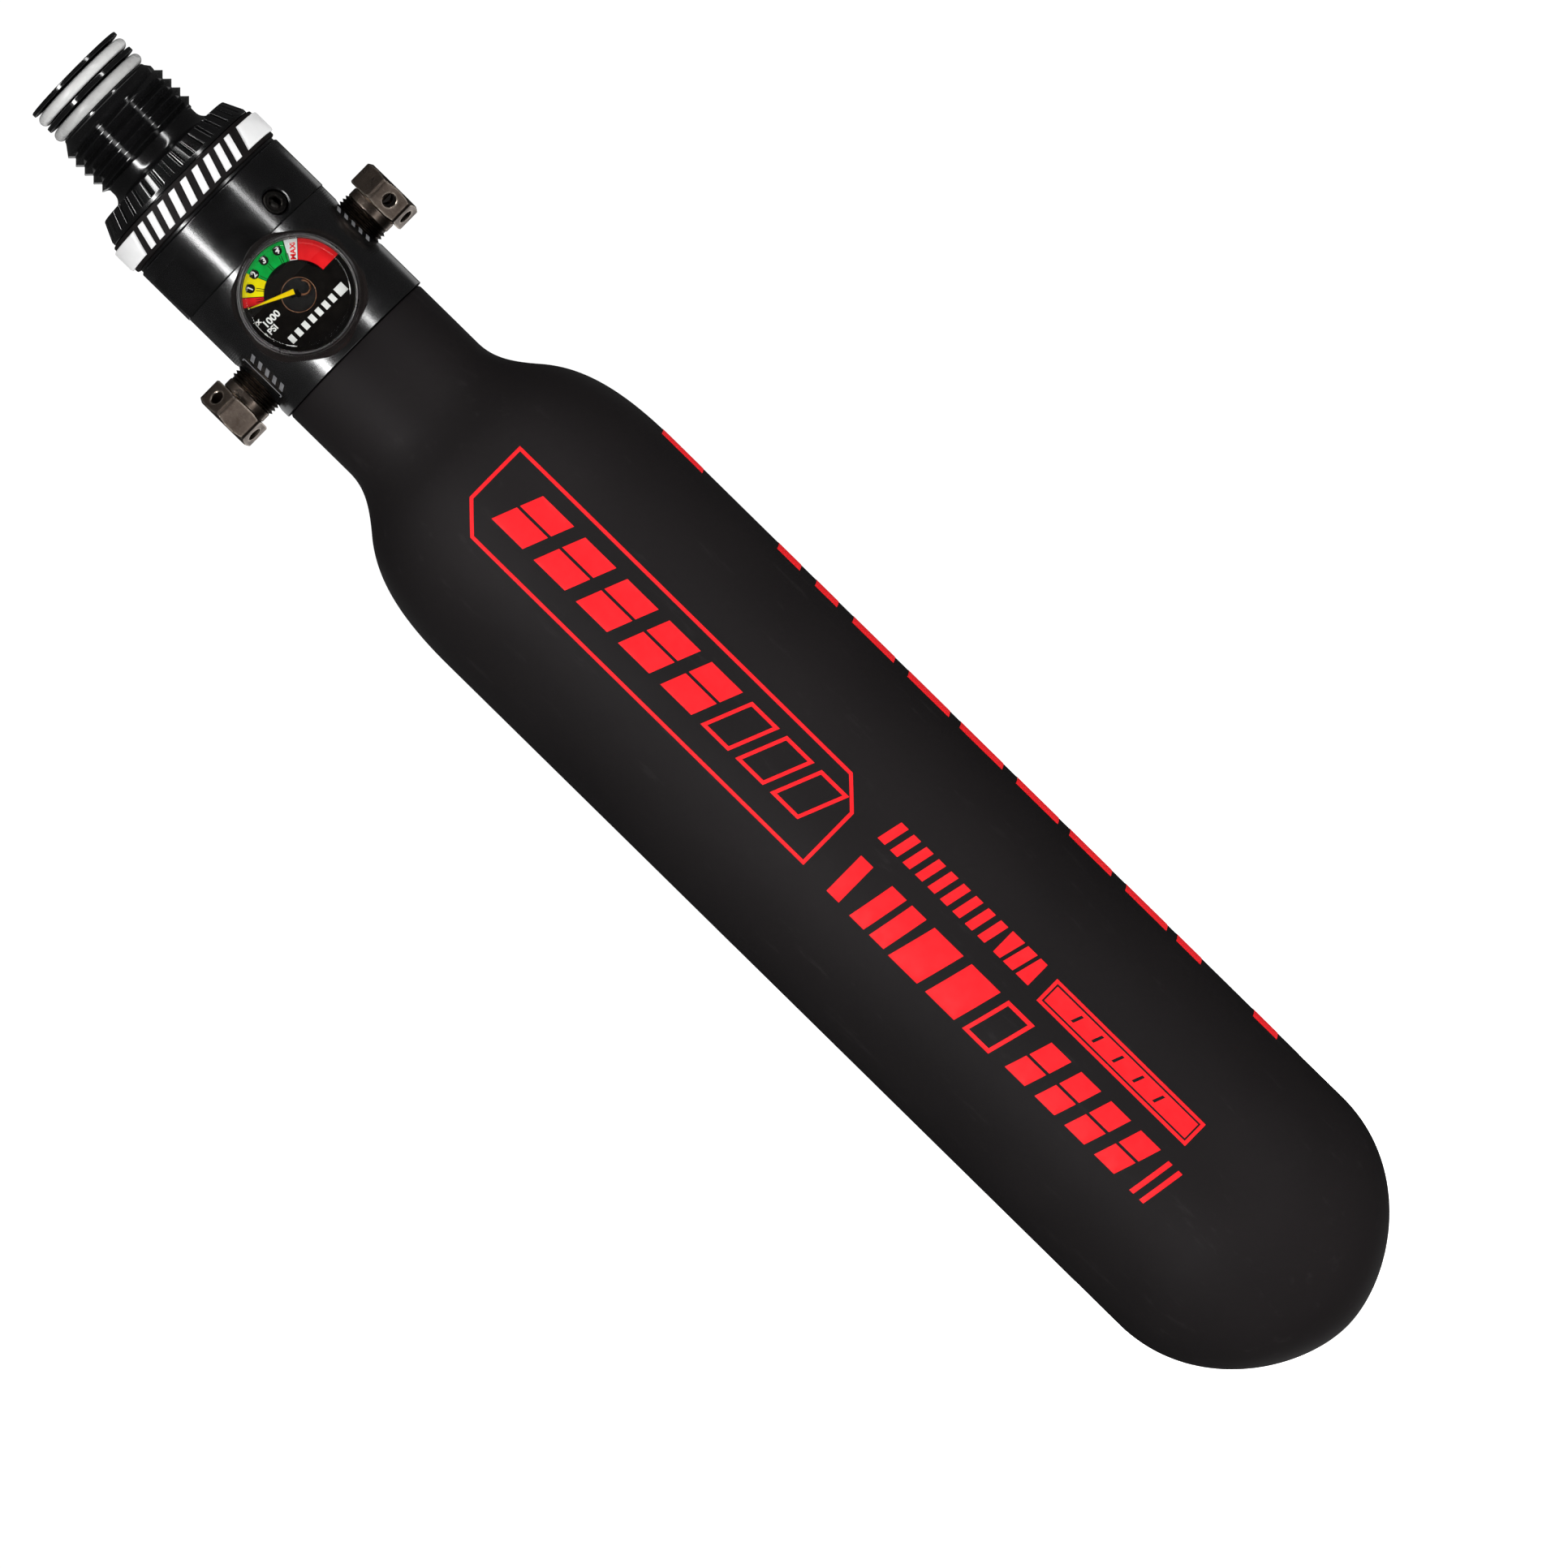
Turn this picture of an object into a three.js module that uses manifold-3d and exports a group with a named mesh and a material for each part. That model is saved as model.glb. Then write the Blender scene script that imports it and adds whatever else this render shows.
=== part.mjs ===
// A small compressed-air cylinder with its pressure regulator, as an assembly of separate solids.
// Millimetres, +Z up the cylinder's axis. The origin is the lowest point of the bottle's dome,
// the outlet is at the top, and the pressure gauge faces -Y.
import * as THREE from 'three';
import { mergeVertices } from 'three/addons/utils/BufferGeometryUtils.js';
import Module from 'manifold-3d';

const wasm = await Module();
wasm.setup();

// ---------------------------------------------------------------- driving dimensions

const FIT = 0.05; // clearance between parts that touch or slide

const BOTTLE = {
  radius: 25.4, height: 221.7, wall: 4.8,
  domeTop: 26.1, shoulderStart: 176, shoulderEnd: 208.5,
  turnRadius: 19.2, turnHeight: 199, // where the shoulder goes from convex to concave
  neckRadius: 14.55, neckBore: 8.1, sealRadius: 10.1, sealDepth: 2.2,
};

const BODY = {
  radius: 15, bottom: BOTTLE.height + FIT, top: 243.7,
  stemRadius: 8, stemBottom: 206,
  bossRadius: 12.4, bossTop: 250,
  springPocket: 8, springFloor: 243.2,
  pistonBore: 4.05, chamberFloor: 231.6, nozzleTop: 232.6, passage: 1.2,
};

const BONNET = {
  radius: 15.15, bottom: 243.75, skirtTop: 254.1, threadBore: 12.45, threadBoreTop: 250.4,
  bandSeat: 13.7, bandBottom: 254.85, bandTop: 260.45,
  coneRadius: 14.9, coneBottom: 261.2, coneTopRadius: 13.4, shoulder: 264.4,
  neckRadius: 9.2, pistonBore: 9.5, pistonBoreTop: 262.5,
  passage: 1.5, valveBore: 4.1, valveFloor: 266.6, top: 284.6,
};

const OUTLET_THREAD = { bottom: 267.9, top: 277.3, root: 9.35, crest: 10.4, pitch: 1.814 };
const TIP = { grooveRadius: 7.75, flangeRadius: 9.3, cord: 0.88, rearRing: 278.9, frontRing: 282.45 };
const FLUTES = { count: 40, width: 0.5, depth: 0.45, phase: -1.9 };
const BAND = {
  radius: 15.4, edge: 0.2, padRadius: 15.75, padRoot: 14.6, padMargin: 0.4, padFrom: 48, padTo: 84,
};
const NECK_RING = { radius: 9.1, cord: 0.93 };

const PISTON = {
  noseRadius: 3, noseBottom: 233.2, stemRadius: 4, stemBottom: 237.6,
  headRadius: 9.4, headBottom: 252, headTop: 257.4, bore: 1, boreFloor: 236,
  crossHole: 236.6, seatRadius: 1.6, seatDepth: 1.5,
};
const STEM_RING = { height: 240, groove: 3, cord: 0.47, reach: 0.95 };
const HEAD_RING = { height: 254.7, groove: 7.8, cord: 0.78, reach: 0.95 };
const WASHERS = {
  count: 5, bottom: 244, thickness: 0.75, coneHeight: 0.75, inner: 4.2, outer: 7.8,
};

const VALVE = {
  pinRadius: 1.45, headRadius: 3, headBottom: 273.2, headTop: 275.4, tip: 284.2,
  retainerBottom: 276.5, retainerTop: 283.8,
};

const PLUG = {
  shank: 4.65, inner: 9, threadEnd: 17.4, collar: 4.25, hexBase: 18.6, outer: 23.2,
  hexCorner: 5.5, cornerTurn: 15.4, vent: 1.12, ventAt: 20.75, bore: 2.1, floor: 8,
};
const LOW_PORT_HEIGHT = 235.5;
const HIGH_PORT_HEIGHT = 228.4;
const LOW_VENTED_FLATS = [1, 2]; // each vent runs right across the head, so two vents pierce four flats
const HIGH_VENTED_FLATS = [0, 2];

const GAUGE = {
  height: 233.4, stemRadius: 4.95, stemEnd: 7.9, hexBack: 16, hexFront: 21.4,
  hexFlat: 10.32, turnedRadius: 10.85, cupFront: 26.2, bezelRadius: 9.9,
  cavity: 8.9, cavityFloor: 22.4, dialFace: 25, dialHole: 2.77,
  lensRadius: 9.1, lensFlat: 8.2, lensFront: 27.4, cornerTurn: 21.5,
  coilRadius: 1.7, coilWire: 0.22, coilTurns: 2.5,
  needleRoot: 0.6, needleTip: 7.8, needleOffset: 0.73, // the blade passes beside the pivot
  needleRest: 155.5, // degrees from +X, seen from the front
};
const NIPPLE = {
  height: 231.5, stemRadius: 4.95, stemEnd: 7.9, hexBack: 15.4, hexFront: 18.8,
  hexCorner: 6.4, turnedRadius: 6.1, probeRadius: 4.3, end: GAUGE.lensFront, chamber: 2.4, seat: 18.4,
};
const PORT = { radius: 5, floor: 7.5 };

const SET_SCREW = { height: 246.8, angle: 32.6, radius: 2.2, inner: 12.6, outer: 14.3 };
const WRENCH_FLAT = { angle: -58, distance: 13.6, top: 253.6 };

// ---------------------------------------------------------------- solids from three.js geometry

/** A closed three.js geometry as a manifold-3d solid. */
function solid(geometry) {
  const bare = geometry.clone();
  bare.deleteAttribute('normal');
  bare.deleteAttribute('uv');
  const merged = mergeVertices(bare, 1e-4);
  const kept = [];
  const index = merged.index.array;
  for (let i = 0; i < index.length; i += 3) {
    const [a, b, c] = [index[i], index[i + 1], index[i + 2]];
    if (a !== b && b !== c && a !== c) kept.push(a, b, c);
  }
  return new wasm.Manifold(new wasm.Mesh({
    numProp: 3,
    vertProperties: new Float32Array(merged.attributes.position.array),
    triVerts: new Uint32Array(kept),
  }));
}

/** A manifold-3d solid back as a three.js geometry. */
function geometryOf(shape) {
  const mesh = shape.getMesh();
  const geometry = new THREE.BufferGeometry();
  geometry.setAttribute('position', new THREE.BufferAttribute(mesh.vertProperties, 3));
  geometry.setIndex(new THREE.BufferAttribute(mesh.triVerts, 1));
  geometry.computeVertexNormals();
  return geometry;
}

/** Turns a profile of [radius, height] points round +Z. The profile runs anticlockwise. */
function turned(profile, segments = 24) {
  const points = profile.map(([r, z]) => new THREE.Vector2(r, z));
  return solid(new THREE.LatheGeometry(points, segments).rotateX(Math.PI / 2));
}

/** A profile that closes on itself, for a ring. */
const ring = (profile, segments) => turned([...profile, profile[0]], segments);

/** A plain rod along +Z from one height to another. */
const rod = (radius, from, to, segments = 24) =>
  turned([[0, from], [radius, from], [radius, to], [0, to]], segments);

/** A ring of round cord, such as an O-ring. */
function cordRing(radius, cord, height, segments = 20) {
  const steps = 6;
  const profile = Array.from({ length: steps }, (_, i) => {
    const a = (2 * Math.PI * i) / steps;
    return [radius + cord * Math.cos(a), height + cord * Math.sin(a)];
  });
  return ring(profile, segments);
}

/** A hexagonal bar along +Z, with its corners at `turn` degrees from +X and every 60 on. */
function hexBar(cornerRadius, from, to, turn = 0) {
  const shape = new THREE.Shape(Array.from({ length: 6 }, (_, i) => {
    const a = THREE.MathUtils.degToRad(turn + 60 * i);
    return new THREE.Vector2(cornerRadius * Math.cos(a), cornerRadius * Math.sin(a));
  }));
  return solid(new THREE.ExtrudeGeometry(shape, { depth: to - from, bevelEnabled: false })
    .translate(0, 0, from));
}

/** A coil of round wire along +Z. */
function coil({ radius, wire, bottom, top, turns, sides = 4, stepsPerTurn = 10 }) {
  class Helix extends THREE.Curve {
    getPoint(t, target = new THREE.Vector3()) {
      const a = 2 * Math.PI * turns * t;
      const z = THREE.MathUtils.lerp(bottom + wire, top - wire, t);
      return target.set(radius * Math.cos(a), radius * Math.sin(a), z);
    }
  }
  const section = new THREE.Shape(Array.from({ length: sides }, (_, i) => {
    const a = (2 * Math.PI * i) / sides;
    return new THREE.Vector2(wire * Math.cos(a), wire * Math.sin(a));
  }));
  const steps = Math.round(turns * stepsPerTurn);
  return solid(new THREE.ExtrudeGeometry(section, { steps, extrudePath: new Helix() }));
}

/** A screw thread: a full rod whose radius follows the thread's flanks round a helix. */
function threadedRod({ root, crest, pitch, bottom, top }, segments = 24) {
  const flank = (crest - root) * Math.tan(Math.PI / 6);
  const land = (pitch - 2 * flank) / 2;
  const section = [[root, 0], [root, land], [crest, land + flank], [crest, 2 * land + flank]];
  const turns = Math.ceil((top - bottom) / pitch) + 2;
  const start = bottom - 1.5 * pitch;
  const positions = [];
  for (let i = 0; i <= turns * segments; i++) {
    const a = (2 * Math.PI * i) / segments;
    for (const [r, z] of section)
      positions.push(r * Math.cos(a), r * Math.sin(a), start + z + (pitch * i) / segments);
  }
  const rows = section.length;
  const last = (turns - 1) * segments;
  const id = (i, j) => (j < rows ? i * rows + j : (i + segments) * rows);
  const faces = [];
  for (let i = 0; i < last; i++)
    for (let j = 0; j < rows; j++) {
      const [a, b, c, d] = [id(i, j), id(i + 1, j), id(i + 1, j + 1), id(i, j + 1)];
      faces.push(a, b, c, a, c, d);
    }
  const foot = positions.length / 3;
  positions.push(0, 0, start - pitch, 0, 0, start + (turns + 1) * pitch);
  const edge = (first) => [
    ...Array.from({ length: segments + 1 }, (_, k) => id(first + k, 0)),
    ...Array.from({ length: rows - 1 }, (_, k) => id(first, rows - 1 - k)),
  ];
  const fan = (loop, apex, up) => loop.forEach((v, k) => {
    const next = loop[(k + 1) % loop.length];
    faces.push(apex, up ? v : next, up ? next : v);
  });
  fan(edge(0), foot, false);
  fan(edge(last), foot + 1, true);
  const geometry = new THREE.BufferGeometry();
  geometry.setAttribute('position', new THREE.Float32BufferAttribute(positions, 3));
  geometry.setIndex(faces);
  const chamfer = crest - root;
  const envelope = turned([
    [0, bottom], [root - FIT, bottom], [crest, bottom + chamfer],
    [crest, top - chamfer], [root - FIT, top], [0, top],
  ], segments);
  return solid(geometry).intersect(envelope);
}

/** Points along a cubic curve through [radius, height] control points. */
function curve(p0, p1, p2, p3, steps) {
  const points = [p0, p1, p2, p3].map(([r, z]) => new THREE.Vector2(r, z));
  return new THREE.CubicBezierCurve(...points).getPoints(steps).map((p) => [p.x, p.y]);
}

/** A solid built along +Z, moved so that it points out of the regulator at a given height. */
function outward(shape, direction, height) {
  const quaternion = new THREE.Quaternion().setFromUnitVectors(new THREE.Vector3(0, 0, 1), direction);
  const matrix = new THREE.Matrix4().makeRotationFromQuaternion(quaternion).setPosition(0, 0, height);
  return shape.transform(matrix.toArray());
}

const TO_LOW_PORT = new THREE.Vector3(1, 0, 0);
const TO_HIGH_PORT = new THREE.Vector3(-1, 0, 0);
const TO_GAUGE = new THREE.Vector3(0, -1, 0);
const TO_FILL = new THREE.Vector3(0, 1, 0);

/** The level direction at an angle from the gauge side, positive towards +X. */
function fromFront(degrees) {
  const a = THREE.MathUtils.degToRad(degrees);
  return new THREE.Vector3(Math.sin(a), -Math.cos(a), 0);
}

// ---------------------------------------------------------------- materials

const finish = (color, roughness, metalness) =>
  new THREE.MeshStandardMaterial({ color, roughness, metalness });

const MATERIALS = {
  bottle: finish(0x1f1c1d, 0.55, 0.2),
  anodised: finish(0x141414, 0.25, 0.6),
  band: finish(0x181616, 0.7, 0),
  ring: finish(0xb4b4b2, 0.35, 0),
  rubber: finish(0x101010, 0.8, 0),
  nickel: finish(0x5a514b, 0.35, 0.9),
  steel: finish(0x9a9a98, 0.3, 1),
  brass: finish(0xb08d4a, 0.3, 1),
  copper: finish(0xb4683c, 0.3, 1),
  polymer: finish(0xd8d2c0, 0.5, 0),
  dial: finish(0x0c0c0c, 0.6, 0),
  needle: finish(0xf2cf00, 0.5, 0),
  lens: new THREE.MeshStandardMaterial({
    color: 0xffffff, roughness: 0.05, metalness: 0, transparent: true, opacity: 0.3,
  }),
};

const cylinderAndRegulator = new THREE.Group();

/** Adds one named piece to the assembly. */
function add(name, shape, material) {
  const mesh = new THREE.Mesh(geometryOf(shape), MATERIALS[material]);
  mesh.name = name;
  cylinderAndRegulator.add(mesh);
}

// ---------------------------------------------------------------- bottle

/** The hollow bottle: domed base, straight wall, two-curve shoulder and a bored neck. */
function bottle() {
  const b = BOTTLE;
  const inside = b.radius - b.wall;
  const neckStart = b.shoulderEnd - 6.5;
  const outline = [
    ...curve([0, 0], [10.5, 0], [b.radius, b.domeTop - 16], [b.radius, b.domeTop], 8),
    ...curve([b.radius, b.shoulderStart], [b.radius, b.shoulderStart + 12],
      [b.turnRadius + 3.9, b.turnHeight - 4.6], [b.turnRadius, b.turnHeight], 5),
    ...curve([b.turnRadius, b.turnHeight], [b.turnRadius - 2.9, b.turnHeight + 3.4],
      [b.neckRadius, b.shoulderEnd - 3.5], [b.neckRadius, b.shoulderEnd], 4).slice(1),
    [b.neckRadius, b.height],
    [b.sealRadius, b.height],
    [b.sealRadius, b.height - b.sealDepth],
    [b.neckBore, b.height - b.sealDepth],
    ...curve([b.neckBore, neckStart], [b.neckBore + 7, neckStart - 2],
      [inside, b.shoulderStart + 12], [inside, b.shoulderStart], 5),
    ...curve([inside, b.domeTop + 2], [inside, b.domeTop - 13],
      [9, b.wall + 0.7], [0, b.wall + 0.7], 6),
  ];
  return turned(outline, 40);
}

// ---------------------------------------------------------------- regulator body

/** The turned body with its stem, spring boss, nozzle and four ports. */
function regulatorBody() {
  const b = BODY;
  const turnedBody = ring([
    [b.passage, b.stemBottom], [b.stemRadius - 0.4, b.stemBottom],
    [b.stemRadius, b.stemBottom + 0.6], [b.stemRadius, b.bottom],
    [b.radius - 0.3, b.bottom], [b.radius, b.bottom + 0.3], [b.radius, b.top],
    [b.bossRadius, b.top], [b.bossRadius, b.bossTop], [b.springPocket, b.bossTop],
    [b.springPocket, b.springFloor], [b.pistonBore, b.springFloor],
    [b.pistonBore, b.chamberFloor], [2.4, b.chamberFloor], [1.6, b.nozzleTop],
    [0.7, b.nozzleTop], [0.7, b.nozzleTop - 1.6], [b.passage, b.nozzleTop - 2.1],
  ], 40);
  const reach = b.radius + 1;
  const plugPort = rod(PLUG.shank + FIT, PLUG.floor, reach);
  const highFeed = BODY.nozzleTop - 3;
  const holes = [
    outward(plugPort, TO_LOW_PORT, LOW_PORT_HEIGHT),
    outward(rod(0.8, 3, PLUG.inner, 10), TO_LOW_PORT, LOW_PORT_HEIGHT),
    outward(plugPort, TO_HIGH_PORT, HIGH_PORT_HEIGHT),
    outward(rod(0.8, 0, PLUG.inner, 10), TO_HIGH_PORT, HIGH_PORT_HEIGHT),
    outward(rod(PORT.radius, PORT.floor, reach), TO_GAUGE, GAUGE.height),
    outward(rod(0.5, 0, PORT.floor + 0.5, 8), TO_GAUGE, highFeed),
    outward(rod(PORT.radius, PORT.floor, reach), TO_FILL, NIPPLE.height),
    outward(rod(0.8, 0, PORT.floor + 0.5, 10), TO_FILL, highFeed),
  ];
  return holes.reduce((shape, hole) => shape.subtract(hole), turnedBody);
}

// ---------------------------------------------------------------- bonnet

/** Narrow grooves cut down the cone below the outlet thread. */
function fluteCutters() {
  const { count, width, depth, phase } = FLUTES;
  const rise = BONNET.shoulder - BONNET.coneBottom;
  const lean = Math.atan2(BONNET.coneRadius - BONNET.coneTopRadius, rise);
  const cutters = Array.from({ length: count }, (_, i) => {
    const slot = new THREE.BoxGeometry(2 * depth, width, 2 * rise)
      .translate(0, 0, rise)
      .rotateY(-lean)
      .translate(BONNET.coneRadius, 0, BONNET.coneBottom + 0.2)
      .rotateZ((2 * Math.PI * i) / count + THREE.MathUtils.degToRad(phase));
    return solid(slot);
  });
  return cutters.reduce((all, slot) => all.add(slot));
}

/** A block that mills one wrench flat on the bonnet's skirt. */
function flatCutter(degrees) {
  const { distance, top } = WRENCH_FLAT;
  const depth = 6;
  const block = new THREE.BoxGeometry(40, depth, 2 * (top - BONNET.bottom))
    .translate(0, -distance - depth / 2, BONNET.bottom)
    .rotateZ(THREE.MathUtils.degToRad(degrees));
  return solid(block);
}

/** The bonnet: spring housing, band groove, fluted cone, threaded outlet and ring grooves. */
function bonnet() {
  const b = BONNET;
  const t = OUTLET_THREAD;
  const groove = (centre) => [
    [TIP.flangeRadius, centre - 1.0], [TIP.grooveRadius, centre - 0.97],
    [TIP.grooveRadius, centre + 0.97], [TIP.flangeRadius, centre + 1.0],
  ];
  const outside = turned([
    [0, b.bottom], [b.radius - 0.25, b.bottom], [b.radius, b.bottom + 0.25],
    [b.radius, b.skirtTop], [b.radius - 0.35, b.skirtTop + 0.25], [b.radius - 0.35, b.bandBottom],
    [b.bandSeat, b.bandBottom], [b.bandSeat, b.bandTop], [b.coneRadius, b.bandTop],
    [b.coneRadius, b.coneBottom], [b.coneTopRadius, b.shoulder],
    [b.neckRadius + 1, b.shoulder], [b.neckRadius, b.shoulder + 0.9],
    [b.neckRadius, t.bottom + FIT], [TIP.grooveRadius, t.bottom + FIT], ...groove(TIP.rearRing).slice(2),
    ...groove(TIP.frontRing), [TIP.flangeRadius, b.top - 0.2],
    [TIP.flangeRadius - 0.2, b.top], [0, b.top],
  ], 40);
  const inside = turned([
    [0, b.bottom - 1], [b.threadBore, b.bottom - 1], [b.threadBore, b.threadBoreTop],
    [b.pistonBore, b.threadBoreTop], [b.pistonBore, b.pistonBoreTop],
    [b.passage, b.pistonBoreTop], [b.passage, b.valveFloor],
    [b.valveBore, b.valveFloor], [b.valveBore, b.top + 1], [0, b.top + 1],
  ], 40);
  const screwHole = outward(rod(SET_SCREW.radius + FIT, 12, 16, 20),
    fromFront(SET_SCREW.angle), SET_SCREW.height);
  return outside.add(threadedRod(t)).subtract(inside).subtract(screwHole)
    .subtract(fluteCutters())
    .subtract(flatCutter(WRENCH_FLAT.angle))
    .subtract(flatCutter(WRENCH_FLAT.angle + 180));
}

/** A stretchy band round the bonnet, with a raised pad at each side of the gauge. */
function gripBand() {
  const { radius, edge, padRadius, padRoot, padMargin, padFrom, padTo } = BAND;
  const inner = BONNET.bandSeat + FIT;
  const [low, high] = [BONNET.bandBottom + FIT, BONNET.bandTop - FIT];
  const strip = ring([
    [inner, low], [radius - edge, low], [radius, low + edge],
    [radius, high - edge], [radius - edge, high], [inner, high],
  ], 40);
  const pad = (from, to) => {
    const [a0, a1] = [from - 90, to - 90].map(THREE.MathUtils.degToRad);
    const shape = new THREE.Shape();
    shape.absarc(0, 0, padRadius, a0, a1, false);
    shape.absarc(0, 0, padRoot, a1, a0, true);
    return solid(new THREE.ExtrudeGeometry(shape, {
      depth: high - low - 2 * padMargin, bevelEnabled: false, curveSegments: 4,
    }).translate(0, 0, low + padMargin));
  };
  return strip.add(pad(padFrom, padTo)).add(pad(-padTo, -padFrom));
}

/** The hollow-head grub screw that locks the bonnet to the body. */
function bonnetSetScrew() {
  const { radius, inner, outer } = SET_SCREW;
  const screw = turned([[0, inner], [radius - 0.3, inner], [radius, inner + 0.3],
    [radius, outer - 0.3], [radius - 0.3, outer], [0, outer]], 20);
  const shape = screw.subtract(hexBar(1.3, outer - 1.2, outer + 1));
  return outward(shape, fromFront(SET_SCREW.angle), SET_SCREW.height);
}

// ---------------------------------------------------------------- piston and its springs

/** The stepped piston: its head takes outlet pressure and its nose closes on the nozzle. */
function piston() {
  const p = PISTON;
  const groove = (outer, { height, groove: floor, reach }) => [
    [outer, height - reach], [floor, height - reach], [floor, height + reach], [outer, height + reach],
  ];
  const outside = turned([
    [0, p.noseBottom], [p.noseRadius, p.noseBottom], [p.noseRadius, p.stemBottom],
    [p.stemRadius, p.stemBottom + 0.6], ...groove(p.stemRadius, STEM_RING),
    [p.stemRadius, p.headBottom], [p.headRadius, p.headBottom],
    ...groove(p.headRadius, HEAD_RING), [p.headRadius, p.headTop], [0, p.headTop],
  ]);
  const bore = rod(p.bore, p.boreFloor, p.headTop + 1, 12);
  const pocket = rod(p.seatRadius + FIT, p.noseBottom - 1, p.noseBottom + p.seatDepth, 16);
  const acrossNose = rod(0.7, -p.noseRadius - 1, p.noseRadius + 1, 8);
  const crossHole = outward(acrossNose, TO_LOW_PORT, p.crossHole);
  return outside.subtract(bore).subtract(pocket).subtract(crossHole);
}

/** A ring of cord that fills one of the piston's grooves. */
const pistonRing = ({ height, groove, cord }) => cordRing(groove + FIT + cord, cord, height, 24);

/** One dished spring washer; alternate washers face opposite ways. */
function springWasher(bottom, innerRimUp) {
  const { inner, outer, thickness, coneHeight } = WASHERS;
  const [atInner, atOuter] = innerRimUp ? [coneHeight, 0] : [0, coneHeight];
  return ring([
    [inner, bottom + atInner], [outer, bottom + atOuter],
    [outer, bottom + atOuter + thickness], [inner, bottom + atInner + thickness],
  ], 24);
}

// ---------------------------------------------------------------- outlet valve

/** The valve pin: a round head under the retainer and a pin that reaches the outlet face. */
function valvePin() {
  const v = VALVE;
  return turned([
    [0, v.headBottom - 1.6], [1.2, v.headBottom - 1.6], [1.2, v.headBottom],
    [v.headRadius, v.headBottom], [v.headRadius, v.headTop], [v.pinRadius, v.headTop],
    [v.pinRadius, v.tip - 0.3], [v.pinRadius - 0.3, v.tip], [0, v.tip],
  ], 20);
}

/** The flat seal that the pin's head presses against the retainer. */
function valvePinSeal() {
  const [inner, outer] = [VALVE.pinRadius + FIT, VALVE.headRadius - 0.1];
  const [low, high] = [VALVE.headTop + FIT, VALVE.retainerBottom - 2 * FIT];
  return ring([[inner, low], [outer, low], [outer, high], [inner, high]]);
}

/** The slotted screw that keeps the valve pin in the outlet. */
function valveRetainer() {
  const { retainerBottom: bottom, retainerTop: top } = VALVE;
  const body = ring([
    [VALVE.pinRadius + FIT, bottom], [BONNET.valveBore - FIT, bottom],
    [BONNET.valveBore - FIT, top - 0.3], [BONNET.valveBore - 0.35, top], [2.6, top],
    [2.6, top - 1.6], [VALVE.pinRadius + FIT, top - 1.6],
  ], 24);
  const slot = solid(new THREE.BoxGeometry(12, 1.2, 1.6).translate(0, 0, top));
  return body.subtract(slot);
}

// ---------------------------------------------------------------- burst-disc plugs

/** A vented hexagon plug, built along +Z from the regulator's axis. */
function burstPlug(cornerTurn, ventedFlats) {
  const p = PLUG;
  const ridge = (z) => [[p.shank - 0.5, z - 0.53], [p.shank + 0.07, z]];
  const shank = turned([
    [0, p.inner], [p.shank - 0.3, p.inner], [p.shank, p.inner + 0.3], [p.shank, 14.9],
    ...ridge(15.75), ...ridge(16.81), [p.shank - 0.5, p.threadEnd],
    [p.collar, p.threadEnd + 0.1], [p.collar, p.hexBase + 0.1], [0, p.hexBase + 0.1],
  ], 24);
  const chamfer = 0.75;
  const turnedHead = turned([
    [0, p.hexBase], [p.hexCorner, p.hexBase], [p.hexCorner, p.outer - 0.4],
    [p.hexCorner - chamfer, p.outer], [0, p.outer],
  ], 24);
  const head = hexBar(p.hexCorner, p.hexBase, p.outer, cornerTurn).intersect(turnedHead);
  const vents = ventedFlats.map((flat) => solid(
    new THREE.CylinderGeometry(p.vent, p.vent, 2 * p.hexCorner + 2, 10)
      .rotateZ(Math.PI / 2)
      .rotateZ(THREE.MathUtils.degToRad(cornerTurn + 30 + 60 * flat))
      .translate(0, 0, p.ventAt),
  ));
  const bore = rod(p.bore, p.inner - 1, p.ventAt + 0.4, 12);
  return vents.reduce((shape, vent) => shape.subtract(vent), shank.add(head).subtract(bore));
}

/** The plug, its burst disc and its copper gasket in one port. */
function addBurstPort(side, direction, height, cornerTurn, ventedFlats) {
  const place = (piece, shape, material) =>
    add(`${side}_pressure_burst_${piece}`, outward(shape, direction, height), material);
  const [low, high, outer] = [PLUG.floor + FIT, PLUG.floor + 0.7, PLUG.shank - 0.35];
  place('plug', burstPlug(cornerTurn, ventedFlats), 'nickel');
  place('disc', rod(outer, high + FIT, PLUG.inner - FIT), 'copper');
  place('gasket', ring([[PLUG.bore, low], [outer, low], [outer, high], [PLUG.bore, high]]), 'copper');
}

// ---------------------------------------------------------------- pressure gauge

/** The gauge's cup, turned from hexagon bar, with its pipe stem. Built along +Z. */
function gaugeCase() {
  const g = GAUGE;
  const hex = hexBar(g.hexFlat / Math.cos(Math.PI / 6), g.hexBack, g.hexFront, g.cornerTurn)
    .intersect(rod(g.turnedRadius, g.hexBack - 1, g.hexFront + 1, 36));
  const stem = rod(g.stemRadius, g.stemEnd, g.hexBack + 0.5, 24);
  const cup = rod(g.bezelRadius - 0.4, g.hexFront - 0.5, g.cupFront, 36);
  const cavity = rod(g.cavity, g.cavityFloor, g.cupFront + 1, 28);
  const feed = rod(0.6, g.stemEnd - 1, g.cavityFloor + 0.5, 8);
  return hex.add(stem).add(cup).subtract(cavity).subtract(feed);
}

/** The bezel that holds the lens in the cup. */
function gaugeBezel() {
  const g = GAUGE;
  return ring([
    [g.bezelRadius - 0.35, g.hexFront + FIT], [g.bezelRadius, g.hexFront + 0.4],
    [g.bezelRadius, g.lensFront - 0.9], [g.bezelRadius - 0.25, g.lensFront - 0.5],
    [g.lensRadius + FIT, g.lensFront - 0.5], [g.lensRadius + FIT, g.cupFront + FIT],
    [g.bezelRadius - 0.35, g.cupFront + FIT],
  ], 36);
}

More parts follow.
